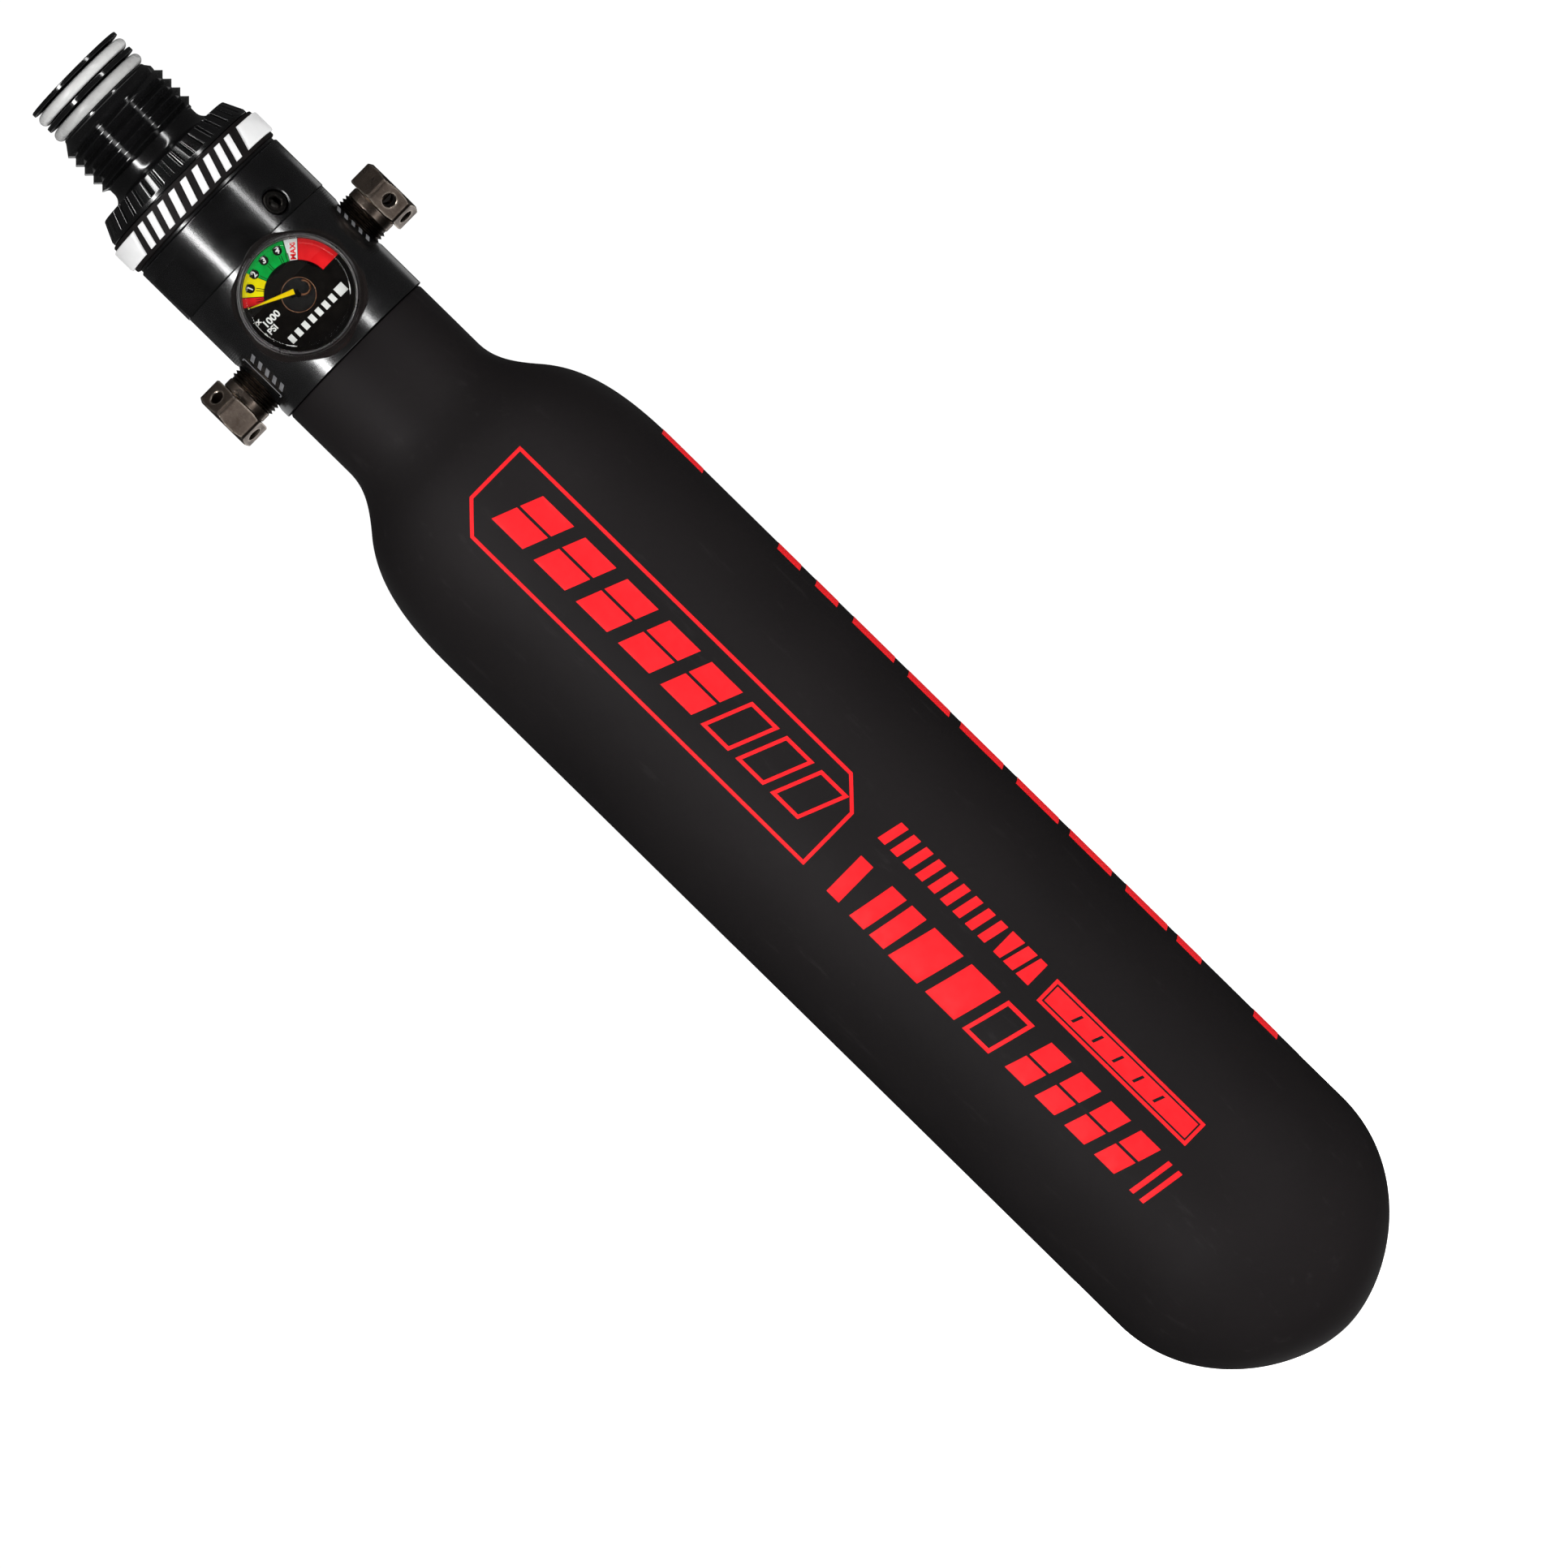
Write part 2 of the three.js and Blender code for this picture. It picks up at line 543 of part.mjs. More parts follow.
/** The clear lens: a shallow pan that stands just proud of the bezel. */
function gaugeLens() {
  const g = GAUGE;
  return turned([
    [0, g.cupFront + FIT], [g.lensRadius, g.cupFront + FIT], [g.lensRadius, g.lensFront - 0.5],
    [g.lensFlat, g.lensFront], [0, g.lensFront],
  ], 36);
}

/** The dial plate with the round window that the coil and the needle come through. */
function gaugeDial() {
  const g = GAUGE;
  return ring([[g.dialHole, g.dialFace - 0.4], [g.cavity - FIT, g.dialFace - 0.4],
    [g.cavity - FIT, g.dialFace], [g.dialHole, g.dialFace]], 28);
}

/** The tapered needle, lying at its zero stop, with an arm to its pivot. Built along +Z. */
function gaugeNeedle() {
  const { needleRoot: root, needleTip: tip, needleOffset: offset } = GAUGE;
  const base = GAUGE.dialFace + 0.15;
  const blade = new THREE.Shape([
    new THREE.Vector2(root, -0.42), new THREE.Vector2(tip, -0.06),
    new THREE.Vector2(tip, 0.06), new THREE.Vector2(root, 0.42),
  ]);
  const flat = solid(new THREE.ExtrudeGeometry(blade, { depth: 0.3, bevelEnabled: false })
    .translate(0, -offset, base));
  const arm = solid(new THREE.BoxGeometry(1.4, offset + 0.3, 0.3)
    .translate(0.5, -offset / 2, base - 0.05));
  return flat.add(arm).add(rod(0.45, base - 0.9, base - 0.02, 10));
}

// ---------------------------------------------------------------- fill nipple

/** The quick-connect fill nipple, built along +Z from the regulator's axis. */
function fillNipple() {
  const n = NIPPLE;
  const stem = rod(n.stemRadius, n.stemEnd, n.hexBack + 0.5, 24);
  const hex = hexBar(n.hexCorner, n.hexBack, n.hexFront, 30)
    .intersect(rod(n.turnedRadius, n.hexBack - 1, n.hexFront + 1, 32));
  const probe = turned([
    [0, n.hexFront - 0.5], [n.probeRadius, n.hexFront - 0.5], [n.probeRadius, n.end - 6.6],
    [n.probeRadius - 0.8, n.end - 6.1], [n.probeRadius - 0.8, n.end - 4.3],
    [n.probeRadius, n.end - 3.8], [n.probeRadius, n.end - 0.8],
    [n.probeRadius - 0.7, n.end], [0, n.end],
  ]);
  const chamber = turned([
    [0, n.stemEnd - 1], [n.chamber, n.stemEnd - 1], [n.chamber, n.seat],
    [n.chamber / 2, n.seat + n.chamber / 2], [n.chamber / 2, n.end + 1], [0, n.end + 1],
  ]);
  return stem.add(hex).add(probe).subtract(chamber);
}

/** The check valve's poppet, which closes the nipple's bore from inside. */
function fillPoppet() {
  const { seat, chamber } = NIPPLE;
  const head = chamber - 0.15;
  return turned([
    [0, seat - 5.5], [1.1, seat - 5.5], [1.1, seat - 3.5], [head, seat - 3.5],
    [head, seat - 0.35], [0.8, seat + 0.9], [0, seat + 0.9],
  ]);
}

/** The washer at the nipple's inner end that the check valve's spring pushes on. */
function fillSpringStop() {
  const [low, high] = [NIPPLE.stemEnd + 0.4, NIPPLE.stemEnd + 1.4];
  const outer = NIPPLE.chamber - FIT;
  return ring([[0.8, low], [outer, low], [outer, high], [0.8, high]]);
}

// ---------------------------------------------------------------- assembly

add('bottle', bottle(), 'bottle');
add('neck_o_ring', cordRing(NECK_RING.radius, NECK_RING.cord, BOTTLE.height - BOTTLE.sealDepth / 2),
  'rubber');
add('regulator_body', regulatorBody(), 'anodised');

add('bonnet', bonnet(), 'anodised');
add('bonnet_set_screw', bonnetSetScrew(), 'rubber');
add('grip_band', gripBand(), 'band');
const outletRing = (height) => cordRing(TIP.grooveRadius + 2 * FIT + TIP.cord, TIP.cord, height);
add('outlet_o_ring_rear', outletRing(TIP.rearRing), 'ring');
add('outlet_o_ring_front', outletRing(TIP.frontRing), 'ring');

add('piston', piston(), 'brass');
add('piston_seat', rod(PISTON.seatRadius, PISTON.noseBottom + FIT,
  PISTON.noseBottom + PISTON.seatDepth - FIT, 16), 'polymer');
add('piston_stem_o_ring', pistonRing(STEM_RING), 'rubber');
add('piston_head_o_ring', pistonRing(HEAD_RING), 'rubber');
add('spring_shim', ring([[WASHERS.inner, BODY.springFloor + FIT], [WASHERS.outer, BODY.springFloor + FIT],
  [WASHERS.outer, WASHERS.bottom - FIT], [WASHERS.inner, WASHERS.bottom - FIT]]), 'steel');
for (let i = 0; i < WASHERS.count; i++) {
  const bottom = WASHERS.bottom + i * (WASHERS.thickness + WASHERS.coneHeight + FIT);
  add(`spring_washer_${i + 1}`, springWasher(bottom, i % 2 === 0), 'steel');
}

add('valve_pin', valvePin(), 'brass');
add('valve_pin_seal', valvePinSeal(), 'rubber');
add('valve_pin_spring', coil({ radius: 2.1, wire: 0.35, bottom: BONNET.valveFloor + FIT,
  top: VALVE.headBottom - FIT, turns: 4 }), 'steel');
add('valve_pin_retainer', valveRetainer(), 'nickel');

addBurstPort('low', TO_LOW_PORT, LOW_PORT_HEIGHT, PLUG.cornerTurn, LOW_VENTED_FLATS);
addBurstPort('high', TO_HIGH_PORT, HIGH_PORT_HEIGHT, -PLUG.cornerTurn, HIGH_VENTED_FLATS);

const atGauge = (shape) => outward(shape, TO_GAUGE, GAUGE.height);
add('gauge_case', atGauge(gaugeCase()), 'anodised');
add('gauge_bezel', atGauge(gaugeBezel()), 'anodised');
add('gauge_dial', atGauge(gaugeDial()), 'dial');
add('gauge_needle', atGauge(gaugeNeedle().rotate([0, 0, GAUGE.needleRest])), 'needle');
add('gauge_bourdon_coil', atGauge(coil({
  radius: GAUGE.coilRadius, wire: GAUGE.coilWire, bottom: GAUGE.cavityFloor + FIT,
  top: GAUGE.dialFace - 0.6, turns: GAUGE.coilTurns, sides: 6, stepsPerTurn: 16,
})), 'copper');
add('gauge_lens', atGauge(gaugeLens()), 'lens');

const atFill = (shape) => outward(shape, TO_FILL, NIPPLE.height);
add('fill_nipple', atFill(fillNipple()), 'steel');
add('fill_check_poppet', atFill(fillPoppet()), 'brass');
add('fill_check_spring', atFill(coil({ radius: 1.75, wire: 0.3, bottom: NIPPLE.stemEnd + 1.5,
  top: NIPPLE.seat - 3.6, turns: 5 })), 'steel');
add('fill_spring_stop', atFill(fillSpringStop()), 'brass');

export default cylinderAndRegulator;
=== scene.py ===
from math import acos, ceil, cos, degrees, pi, radians, sin, sqrt

import bmesh
import bpy
from mathutils import Matrix, Vector


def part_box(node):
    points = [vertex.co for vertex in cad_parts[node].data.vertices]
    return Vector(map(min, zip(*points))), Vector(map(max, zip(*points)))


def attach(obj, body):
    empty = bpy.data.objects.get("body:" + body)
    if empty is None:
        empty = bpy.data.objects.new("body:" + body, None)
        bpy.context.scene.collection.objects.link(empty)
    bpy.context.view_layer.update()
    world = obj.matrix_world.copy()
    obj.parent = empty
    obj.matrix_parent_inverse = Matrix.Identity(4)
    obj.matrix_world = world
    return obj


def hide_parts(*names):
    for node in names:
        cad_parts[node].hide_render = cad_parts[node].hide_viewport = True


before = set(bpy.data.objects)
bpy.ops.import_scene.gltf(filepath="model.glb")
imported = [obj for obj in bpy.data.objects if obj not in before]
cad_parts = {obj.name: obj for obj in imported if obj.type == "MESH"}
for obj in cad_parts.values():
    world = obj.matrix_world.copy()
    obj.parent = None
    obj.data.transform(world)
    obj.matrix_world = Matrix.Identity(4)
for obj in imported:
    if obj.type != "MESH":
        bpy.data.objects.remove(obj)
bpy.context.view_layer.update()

MM = 0.001
TAU = 2 * pi
SCENE = bpy.context.scene

# ---- places, in millimetres


def span(node):
    """The lowest and highest corners of a CAD node."""
    return [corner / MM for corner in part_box(node)]


def middle(node):
    """The height of a CAD node's middle."""
    return sum(corner.z for corner in span(node)) / 2


BOTTLE_RADIUS, BOTTLE_TOP = span("bottle")[1].x, span("bottle")[1].z
BODY_RADIUS, BODY_BOTTOM = span("regulator_body")[1].x, BOTTLE_TOP + 0.05
BONNET_BOTTOM, BONNET_TOP = span("bonnet")[0].z, span("bonnet")[1].z
BODY_TOP = BONNET_BOTTOM - 0.05
BAND_LOW, BAND_HIGH = span("grip_band")[0].z, span("grip_band")[1].z
GAUGE_HEIGHT = middle("gauge_bezel")
GAUGE_FRONT = -span("gauge_lens")[0].y
FILL_HEIGHT = middle("fill_nipple")
FILL_END = span("fill_nipple")[1].y
LOW_PORT = middle("low_pressure_burst_gasket")
HIGH_PORT = middle("high_pressure_burst_gasket")
REAR_RING = middle("outlet_o_ring_rear")
FRONT_RING = middle("outlet_o_ring_front")
PIN_TOP = span("valve_pin")[1].z
RETAINER_TOP = span("valve_pin_retainer")[1].z

# Angles on the bonnet are in degrees from the gauge side, positive towards +X.
BONNET_RADIUS = 15.15
FLAT_ANGLE, FLAT_DISTANCE, FLAT_TOP = -58, 14.37, 252.0
SCREW_ANGLE, SCREW_HEIGHT = 32.6, 246.8
FLUTE_PITCH, FLUTE_PHASE = 9, -1.9
NECK_RADIUS, SHOULDER = 9.2, 264.4
OUTLET = dict(root=9.4, crest=10.32, pitch=1.97, bottom=267.5, top=277.4, lead=0.195)
RING_CORD, RING_RADIUS, FLANGE_RADIUS = 1.0, 8.43, 9.3
VALVE_BORE = 4.1
GAUGE_CORNER, DIAL_FACE, DIAL_HOLE = 21.5, 25.0, 2.77
NEEDLE_REST, NEEDLE_OFFSET = 155.5, 0.73


def facing(direction, height):
    """Places something built along +Z so that it points out of the regulator."""
    turn = Vector((0, 0, 1)).rotation_difference(Vector(direction))
    return Matrix.Translation((0, 0, height)) @ turn.to_matrix().to_4x4()


def from_front(angle):
    """The level direction at an angle in degrees from the gauge side, positive towards +X."""
    a = radians(angle)
    return Vector((sin(a), -cos(a), 0))


AT_GAUGE = facing((0, -1, 0), GAUGE_HEIGHT)
AT_FILL = facing((0, 1, 0), FILL_HEIGHT)
AT_LOW_PORT = facing((1, 0, 0), LOW_PORT)
AT_HIGH_PORT = facing((-1, 0, 0), HIGH_PORT)
AT_SCREW = facing(from_front(SCREW_ANGLE), SCREW_HEIGHT)

# ---- materials


def srgb(r, g, b):
    """A scene-linear colour from the 0-255 values a screen shows."""
    linear = [c / 255 / 12.92 if c <= 10 else ((c / 255 + 0.055) / 1.055) ** 2.4 for c in (r, g, b)]
    return (*linear, 1)


class Look:
    """A node material, or a world. Each method adds nodes and returns the socket to use next."""

    def __init__(self, name, owner=None):
        self.material = owner or bpy.data.materials.new(name)
        self.material.use_nodes = True
        self.tree = self.material.node_tree
        self.tree.nodes.clear()
        self.at = self.node("TexCoord").outputs["Object"]

    def node(self, kind, inputs=(), **settings):
        made = self.tree.nodes.new("ShaderNode" + kind)
        for key, value in settings.items():
            setattr(made, key, value)
        for key, value in dict(inputs).items():
            if isinstance(value, bpy.types.NodeSocket):
                self.tree.links.new(value, made.inputs[key])
            else:
                made.inputs[key].default_value = value
        return made

    def math(self, operation, *values):
        return self.node("Math", enumerate(values), operation=operation).outputs[0]

    def times(self, a, b):
        return self.math("MULTIPLY", a, b)

    def plus(self, a, b):
        return self.math("ADD", a, b)

    def stretched(self, scale, turn=(0, 0, 0), shift=(0, 0, 0)):
        """Object coordinates scaled per axis, for grain that runs one way."""
        inputs = {"Vector": self.at, "Rotation": [radians(a) for a in turn],
                  "Scale": scale, "Location": shift}
        return self.node("Mapping", inputs).outputs[0]

    def noise(self, size, detail=2.0, rough=0.5, vector=None):
        """Cloudy noise whose features are about this many millimetres across."""
        inputs = {0: vector or self.at, "Scale": 1 / (size * MM), "Detail": detail, "Roughness": rough}
        return self.node("TexNoise", inputs).outputs[0]

    def level(self, value, low, high, at_low=0.0, at_high=1.0):
        """Maps low..high to at_low..at_high, and stops there."""
        return self.node("MapRange", enumerate((value, low, high, at_low, at_high))).outputs[0]

    def blend(self, factor, a, b):
        inputs = {0: factor, 6: a, 7: b}
        return self.node("Mix", inputs, data_type="RGBA").outputs[2]

    def bump(self, height, depth, normal=None):
        """A bump whose full range of height is this many millimetres deep."""
        inputs = {"Height": height, "Distance": depth * MM, "Strength": 1.0}
        if normal:
            inputs["Normal"] = normal
        return self.node("Bump", inputs).outputs[0]

    def wear(self, radius, low, high):
        """How worn an edge is: high on sharp edges, broken up by noise."""
        rounded = self.node("Bevel", {"Radius": radius * MM}, samples=6).outputs[0]
        true = self.node("NewGeometry").outputs["Normal"]
        dot = self.node("VectorMath", {0: rounded, 1: true}, operation="DOT_PRODUCT").outputs["Value"]
        edge = self.level(dot, 0.997, 0.9)
        broken = self.times(edge, self.level(self.noise(0.7, 4, 0.65), 0.3, 0.62))
        return self.level(broken, low, high)

    def scratches(self, size, turn, low=0.56, high=0.7):
        """Fine straight lines that run one way and come and go."""
        drawn_out = self.stretched((1, 1, 0.03), turn, (3.1, 1.7, 0.4))
        return self.level(self.noise(size, 3, 0.7, drawn_out), low, high)

    def surface(self, **inputs):
        """The main shader, with underscores in names for spaces, as the material's output."""
        named = {key.replace("_", " "): value for key, value in inputs.items()}
        shader = self.node("BsdfPrincipled", named).outputs[0]
        self.output(shader)
        return self.material

    def output(self, shader):
        self.node("OutputMaterial", {"Surface": shader})


def round_axis(look, centre=None):
    """Angle, radius and distance along the bottle's axis, or along a level Y axis at a height."""
    x, y, z = look.node("SeparateXYZ", {0: look.at}).outputs
    across, along = (y, z) if centre is None else (look.math("SUBTRACT", z, centre * MM), y)
    angle = look.math("ARCTAN2", x, across)
    squares = [look.math("POWER", side, 2.0) for side in (x, across)]
    radius = look.math("SQRT", look.plus(*squares))
    return angle, radius, along


def turning_marks(look, pitch, centre=None):
    """Fine tool marks round an axis: their height, the angle, and the distance the tool has fed."""
    angle, radius, along = round_axis(look, centre)
    feed = look.plus(along, radius)
    wobble = look.times(look.noise(6, 1), pitch * MM * 0.6)
    wave = look.math("SINE", look.times(look.plus(feed, wobble), TAU / (pitch * MM)))
    return look.level(wave, -1, 1), angle, feed


GRAIN_RADIUS, GRAIN_SQUEEZE = 15, 0.045  # grain is laid out at this radius, and drawn out round it


def anodised(name, rough, pitch, depth, centre=None, tint=(9, 9, 9.5), streak=0.5, tooth=0.25,
             lines=0.0, shine=0.5):
    """Black anodised aluminium with tool marks, faint handling marks and bright worn edges."""
    look = Look(name)
    wave, angle, feed = turning_marks(look, pitch, centre)
    arc = look.times(angle, GRAIN_RADIUS * MM * GRAIN_SQUEEZE)
    grain = look.noise(0.11, 3, 0.6, look.node("CombineXYZ", {0: arc, 1: feed}).outputs[0])
    fine = look.noise(0.35, 3, 0.6)
    smudge = look.noise(5, 4, 0.62)
    marks = look.times(wave, 1 - streak)
    height = look.plus(marks, look.times(grain, streak))
    normal = look.bump(fine, depth * tooth, look.bump(height, depth))
    worn = look.times(look.wear(0.1, 0.45, 0.95), 0.12)
    colour = look.blend(look.level(smudge, 0.35, 0.7), srgb(*tint), srgb(*[c + 4 for c in tint]))
    by_line = look.noise(0.13, 2, 0.7, look.node("CombineXYZ", {1: feed}).outputs[0])
    matt = look.level(smudge, 0.3, 0.7, rough * 0.85, rough * 1.25)
    return look.surface(
        Base_Color=look.blend(worn, colour, srgb(120, 118, 116)),
        Roughness=look.plus(matt, look.times(worn, 0.2)), IOR=1.62,
        Specular_IOR_Level=look.level(by_line, 0.3, 0.7, shine - lines, shine), Normal=normal,
    )


def bottle_coating():
    """The bottle's smooth matte black coat."""
    look = Look("bottle_coating")
    cloud, drift = look.noise(55, 3, 0.5), look.noise(14, 4, 0.6)
    grain, speck = look.noise(0.16, 3, 0.65), look.noise(1.1, 2)
    colour = look.blend(look.level(cloud, 0.3, 0.7), srgb(20, 18, 18.5), srgb(25, 22.5, 23))
    rub = look.level(look.noise(2.6, 5, 0.7, look.stretched((1, 1, 0.2), (24, 0, 0))), 0.6, 0.78)
    return look.surface(
        Base_Color=look.blend(look.times(rub, 0.05), colour, srgb(100, 96, 96)),
        Roughness=look.level(drift, 0.25, 0.75, 0.55, 0.65), IOR=1.45, Specular_IOR_Level=0.07,
        Normal=look.bump(speck, 0.004, look.bump(grain, 0.006)),
    )


def ink(name, colour, shade, rough=0.5, shine=0.25):
    """Screen ink: slightly uneven, with pinholes and a fine tooth from the coat under it."""
    look = Look(name)
    patch = look.noise(1.6, 4, 0.6)
    pin = look.level(look.noise(0.22, 2, 0.6), 0.66, 0.74)
    even = look.blend(look.level(patch, 0.35, 0.65), srgb(*colour), srgb(*shade))
    return look.surface(
        Base_Color=look.blend(look.times(pin, 0.18), even, srgb(*[c * 0.4 for c in colour])),
        Roughness=look.level(patch, 0.3, 0.7, rough - 0.05, rough + 0.08), IOR=1.45,
        Specular_IOR_Level=shine,
        Normal=look.bump(look.noise(0.18, 3, 0.6), 0.005),
    )


def dial_ink(name, colour, shade):
    """Dull ink for the dial."""
    return ink("dial_" + name, colour, shade, 0.8, 0.02)


def moulded(name, colour, rough, tooth, soft=0.0, spread=1.0, shade=6, shine=0.5):
    """Moulded rubber or plastic with a fine tooth and faint cloudiness."""
    look = Look(name)
    cloud, grain = look.noise(3.2, 4, 0.6), look.noise(0.2, 3, 0.65)
    dark = [max(0, c - shade) for c in colour]
    return look.surface(
        Base_Color=look.blend(look.level(cloud, 0.3, 0.7), srgb(*colour), srgb(*dark)),
        Roughness=look.level(look.noise(1.2, 3), 0.3, 0.7, rough - 0.06, rough + 0.08), IOR=1.5,
        Subsurface_Weight=soft, Subsurface_Radius=(1, 0.96, 0.92), Subsurface_Scale=spread * MM,
        Specular_IOR_Level=shine, Normal=look.bump(grain, tooth),
    )


def worn_metal(name, colour, bright, rough, grain=0.03, wear=0.85, dark=(30, 25, 21)):
    """Plated steel or brass: blotchy, scratched, and rubbed bright along its edges."""
    look = Look(name)
    blotch, fine = look.noise(2.4, 5, 0.65), look.noise(0.14, 3, 0.6)
    coarse, faint = look.scratches(0.16, (25, 62, 20)), look.scratches(0.2, (70, 15, 0), 0.62, 0.74)
    lines = look.math("MAXIMUM", coarse, faint)
    lines = look.times(lines, look.level(look.noise(2.0, 2), 0.3, 0.7, 0.3, 1.3))
    worn = look.times(look.wear(0.55, 0.05, 0.4), wear)
    base = look.blend(look.level(blotch, 0.3, 0.68), srgb(*colour), srgb(*dark))
    base = look.blend(look.times(lines, 0.22), base, srgb(*bright))
    return look.surface(
        Base_Color=look.blend(worn, base, srgb(*bright)), Metallic=1.0,
        Roughness=look.level(blotch, 0.3, 0.7, rough, rough + 0.16),
        Normal=look.bump(lines, -0.004, look.bump(fine, grain * 0.2)),
    )


def turned_metal(name, colour, bright, rough, pitch=0.12, centre=None):
    """Bare turned metal."""
    look = Look(name)
    wave, _, _ = turning_marks(look, pitch, centre)
    blotch = look.noise(1.5, 4, 0.6)
    worn = look.wear(0.12, 0.3, 0.9)
    base = look.blend(look.level(blotch, 0.3, 0.7), srgb(*colour), srgb(*[c * 0.82 for c in colour]))
    return look.surface(
        Base_Color=look.blend(worn, base, srgb(*bright)), Metallic=1.0,
        Roughness=look.level(blotch, 0.3, 0.7, rough, rough + 0.12),
        Normal=look.bump(wave, 0.003, look.bump(look.noise(0.2, 3), 0.003)),
    )


def clear_lens():
    """Clear plastic that lets lamps through, with faint scuffs."""
    look = Look("clear_lens")
    scuff = look.level(look.noise(0.5, 4, 0.7, look.stretched((1, 1, 0.1), (0, 35, 0))), 0.6, 0.75)
    matt = look.times(scuff, 0.08)
    inputs = {"Roughness": matt, "IOR": 1.32, "Color": (0.97, 0.98, 0.98, 1)}
    glass = look.node("BsdfGlass", inputs).outputs[0]
    clear = look.node("BsdfTransparent", {"Color": (0.93, 0.94, 0.94, 1)}).outputs[0]
    ray = look.node("LightPath").outputs["Is Shadow Ray"]
    look.output(look.node("MixShader", {0: ray, 1: glass, 2: clear}).outputs[0])
    return look.material


GLOSS_BLACK = anodised("black_anodising", 0.2, 0.44, 0.003, streak=0.3, tooth=1.7, lines=0.3,
                       shine=1.1)
SMOOTH_BLACK = anodised("black_anodising_smooth", 0.17, 0.3, 0.0016, streak=0.8, tooth=5.5, lines=0.04)
FINE_BLACK = anodised("black_anodising_fine", 0.15, 0.2, 0.0012, streak=0.35)
PLAIN_BLACK = anodised("black_anodising_plain", 0.1, 0.25, 0.0004, streak=0.2)
GAUGE_BLACK = anodised("gauge_black", 0.22, 0.3, 0.0022, GAUGE_HEIGHT, (20, 16, 15))
COATING = bottle_coating()
RED = ink("red_ink", (224, 27, 33), (214, 23, 30), shine=0.1)
MARKING = ink("grey_marking", (108, 108, 110), (88, 88, 90))
BAND = moulded("band_rubber", (19, 16, 16), 0.62, 0.012, shine=0.12)
PAD = moulded("band_pad_white", (214, 214, 214), 0.5, 0.006, 0.2, 0.8, 4, 0.1)
RING = moulded("ring_polyurethane", (180, 180, 179), 0.26, 0.001, 0.4, 1.4, 6, 0.3)
# A darker copy of the ring material: painted shade on the rear O-ring, which is the same polyurethane as
# the front one.
RING_SHADED_REAR = moulded("ring_polyurethane_rear_shaded", (160, 160, 159), 0.26, 0.001, 0.4, 1.4, 6, 0.3)
RUBBER = moulded("black_rubber", (18, 18, 18), 0.55, 0.01)
STEEL_BLACK = worn_metal("black_steel", (40, 39, 38), (110, 106, 100), 0.26, 0.02, 0.35, (22, 21, 20))
GUNMETAL = worn_metal("gunmetal_nickel", (140, 126, 116), (228, 215, 200), 0.25, dark=(100, 88, 79))
# The plugs' threads are the same plated steel as their heads, made darker here: painted shade on the
# threads.
GUNMETAL_SHADED = worn_metal("gunmetal_thread_shaded", (52, 45, 40), (120, 108, 96), 0.24, wear=0.5,
                           dark=(30, 26, 23))
BRASS = turned_metal("machined_brass", (196, 152, 82), (226, 190, 120), 0.28)
COPPER = turned_metal("copper", (184, 108, 72), (220, 150, 112), 0.3, 0.2)
SPRING = turned_metal("spring_steel", (150, 150, 150), (200, 200, 198), 0.26, 0.3)
STAINLESS = turned_metal("stainless_steel", (168, 166, 162), (214, 212, 208), 0.24, 0.16, FILL_HEIGHT)
# Light grey metal for the bezel's rolled lip: painted reflection of the surroundings in the curved lip.
# Its brighter edges are real wear.
LIP_PAINTED_REFLECTION = turned_metal("bezel_lip_painted_reflection", (108, 105, 105), (196, 194, 192), 0.24, 0.1, GAUGE_HEIGHT)
RIM_COPPER = turned_metal("copper_rim", (120, 80, 58), (190, 140, 108), 0.34, 0.2, GAUGE_HEIGHT)
POLYMER = moulded("seat_polymer", (214, 208, 190), 0.4, 0.004, 0.3, 1.0)
DIAL_BLACK = dial_ink("black", (17, 14, 12), (9, 7, 6))
DIAL_WHITE = dial_ink("white", (248, 246, 242), (240, 238, 234))
DIAL_RED = dial_ink("red", (250, 36, 40), (238, 28, 34))
DIAL_GREEN = dial_ink("green", (0, 184, 72), (0, 158, 58))
DIAL_YELLOW = dial_ink("yellow", (255, 240, 0), (250, 226, 0))
NEEDLE = ink("needle_paint", (255, 222, 0), (252, 206, 0), 0.5, 0.1)
HUB_BLACK = moulded("hub_black", (3, 3, 3), 0.8, 0.002, shade=2, shine=0.02)
LENS = clear_lens()

# ---- mesh making

SHARP_EDGE = 32  # degrees between faces above which an edge is shaded sharp


def added(name, data):
    """A new object in the scene."""
    made = bpy.data.objects.new(name, data)
    SCENE.collection.objects.link(made)
    return made


def piece(name, mesh, look, node=None, body="tank", place=None):
    """A finished object from a mesh in millimetres. node is the CAD node that it stands for."""
    mesh.transform(Matrix.Scale(MM, 4) @ (place or Matrix.Identity(4)))
    mesh.update()
    mesh.materials.clear()
    mesh.materials.append(look)
    mesh.shade_smooth()
    mesh.set_sharp_from_angle(angle=radians(SHARP_EDGE))
    made = added(name, mesh)
    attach(made, body)
    if node:
        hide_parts(node)


def mesh_of(work):
    """The mesh of a finished bmesh."""
    mesh = bpy.data.meshes.new("built")
    work.to_mesh(mesh)
    work.free()
    return mesh


def mesh_from(verts, faces):
    """A tidy mesh from points and faces, with doubled points merged and faces pointing out."""
    mesh = bpy.data.meshes.new("built")
    mesh.from_pydata(verts, [], faces)
    work = bmesh.new()
    work.from_mesh(mesh)
    bmesh.ops.remove_doubles(work, verts=work.verts, dist=1e-5)
    bmesh.ops.dissolve_degenerate(work, dist=1e-5, edges=work.edges)
    bmesh.ops.recalc_face_normals(work, faces=work.faces)
    return mesh_of(work)


def joined(*meshes):
    """One mesh from several."""
    work = bmesh.new()
    for mesh in meshes:
        work.from_mesh(mesh)
    return mesh_of(work)


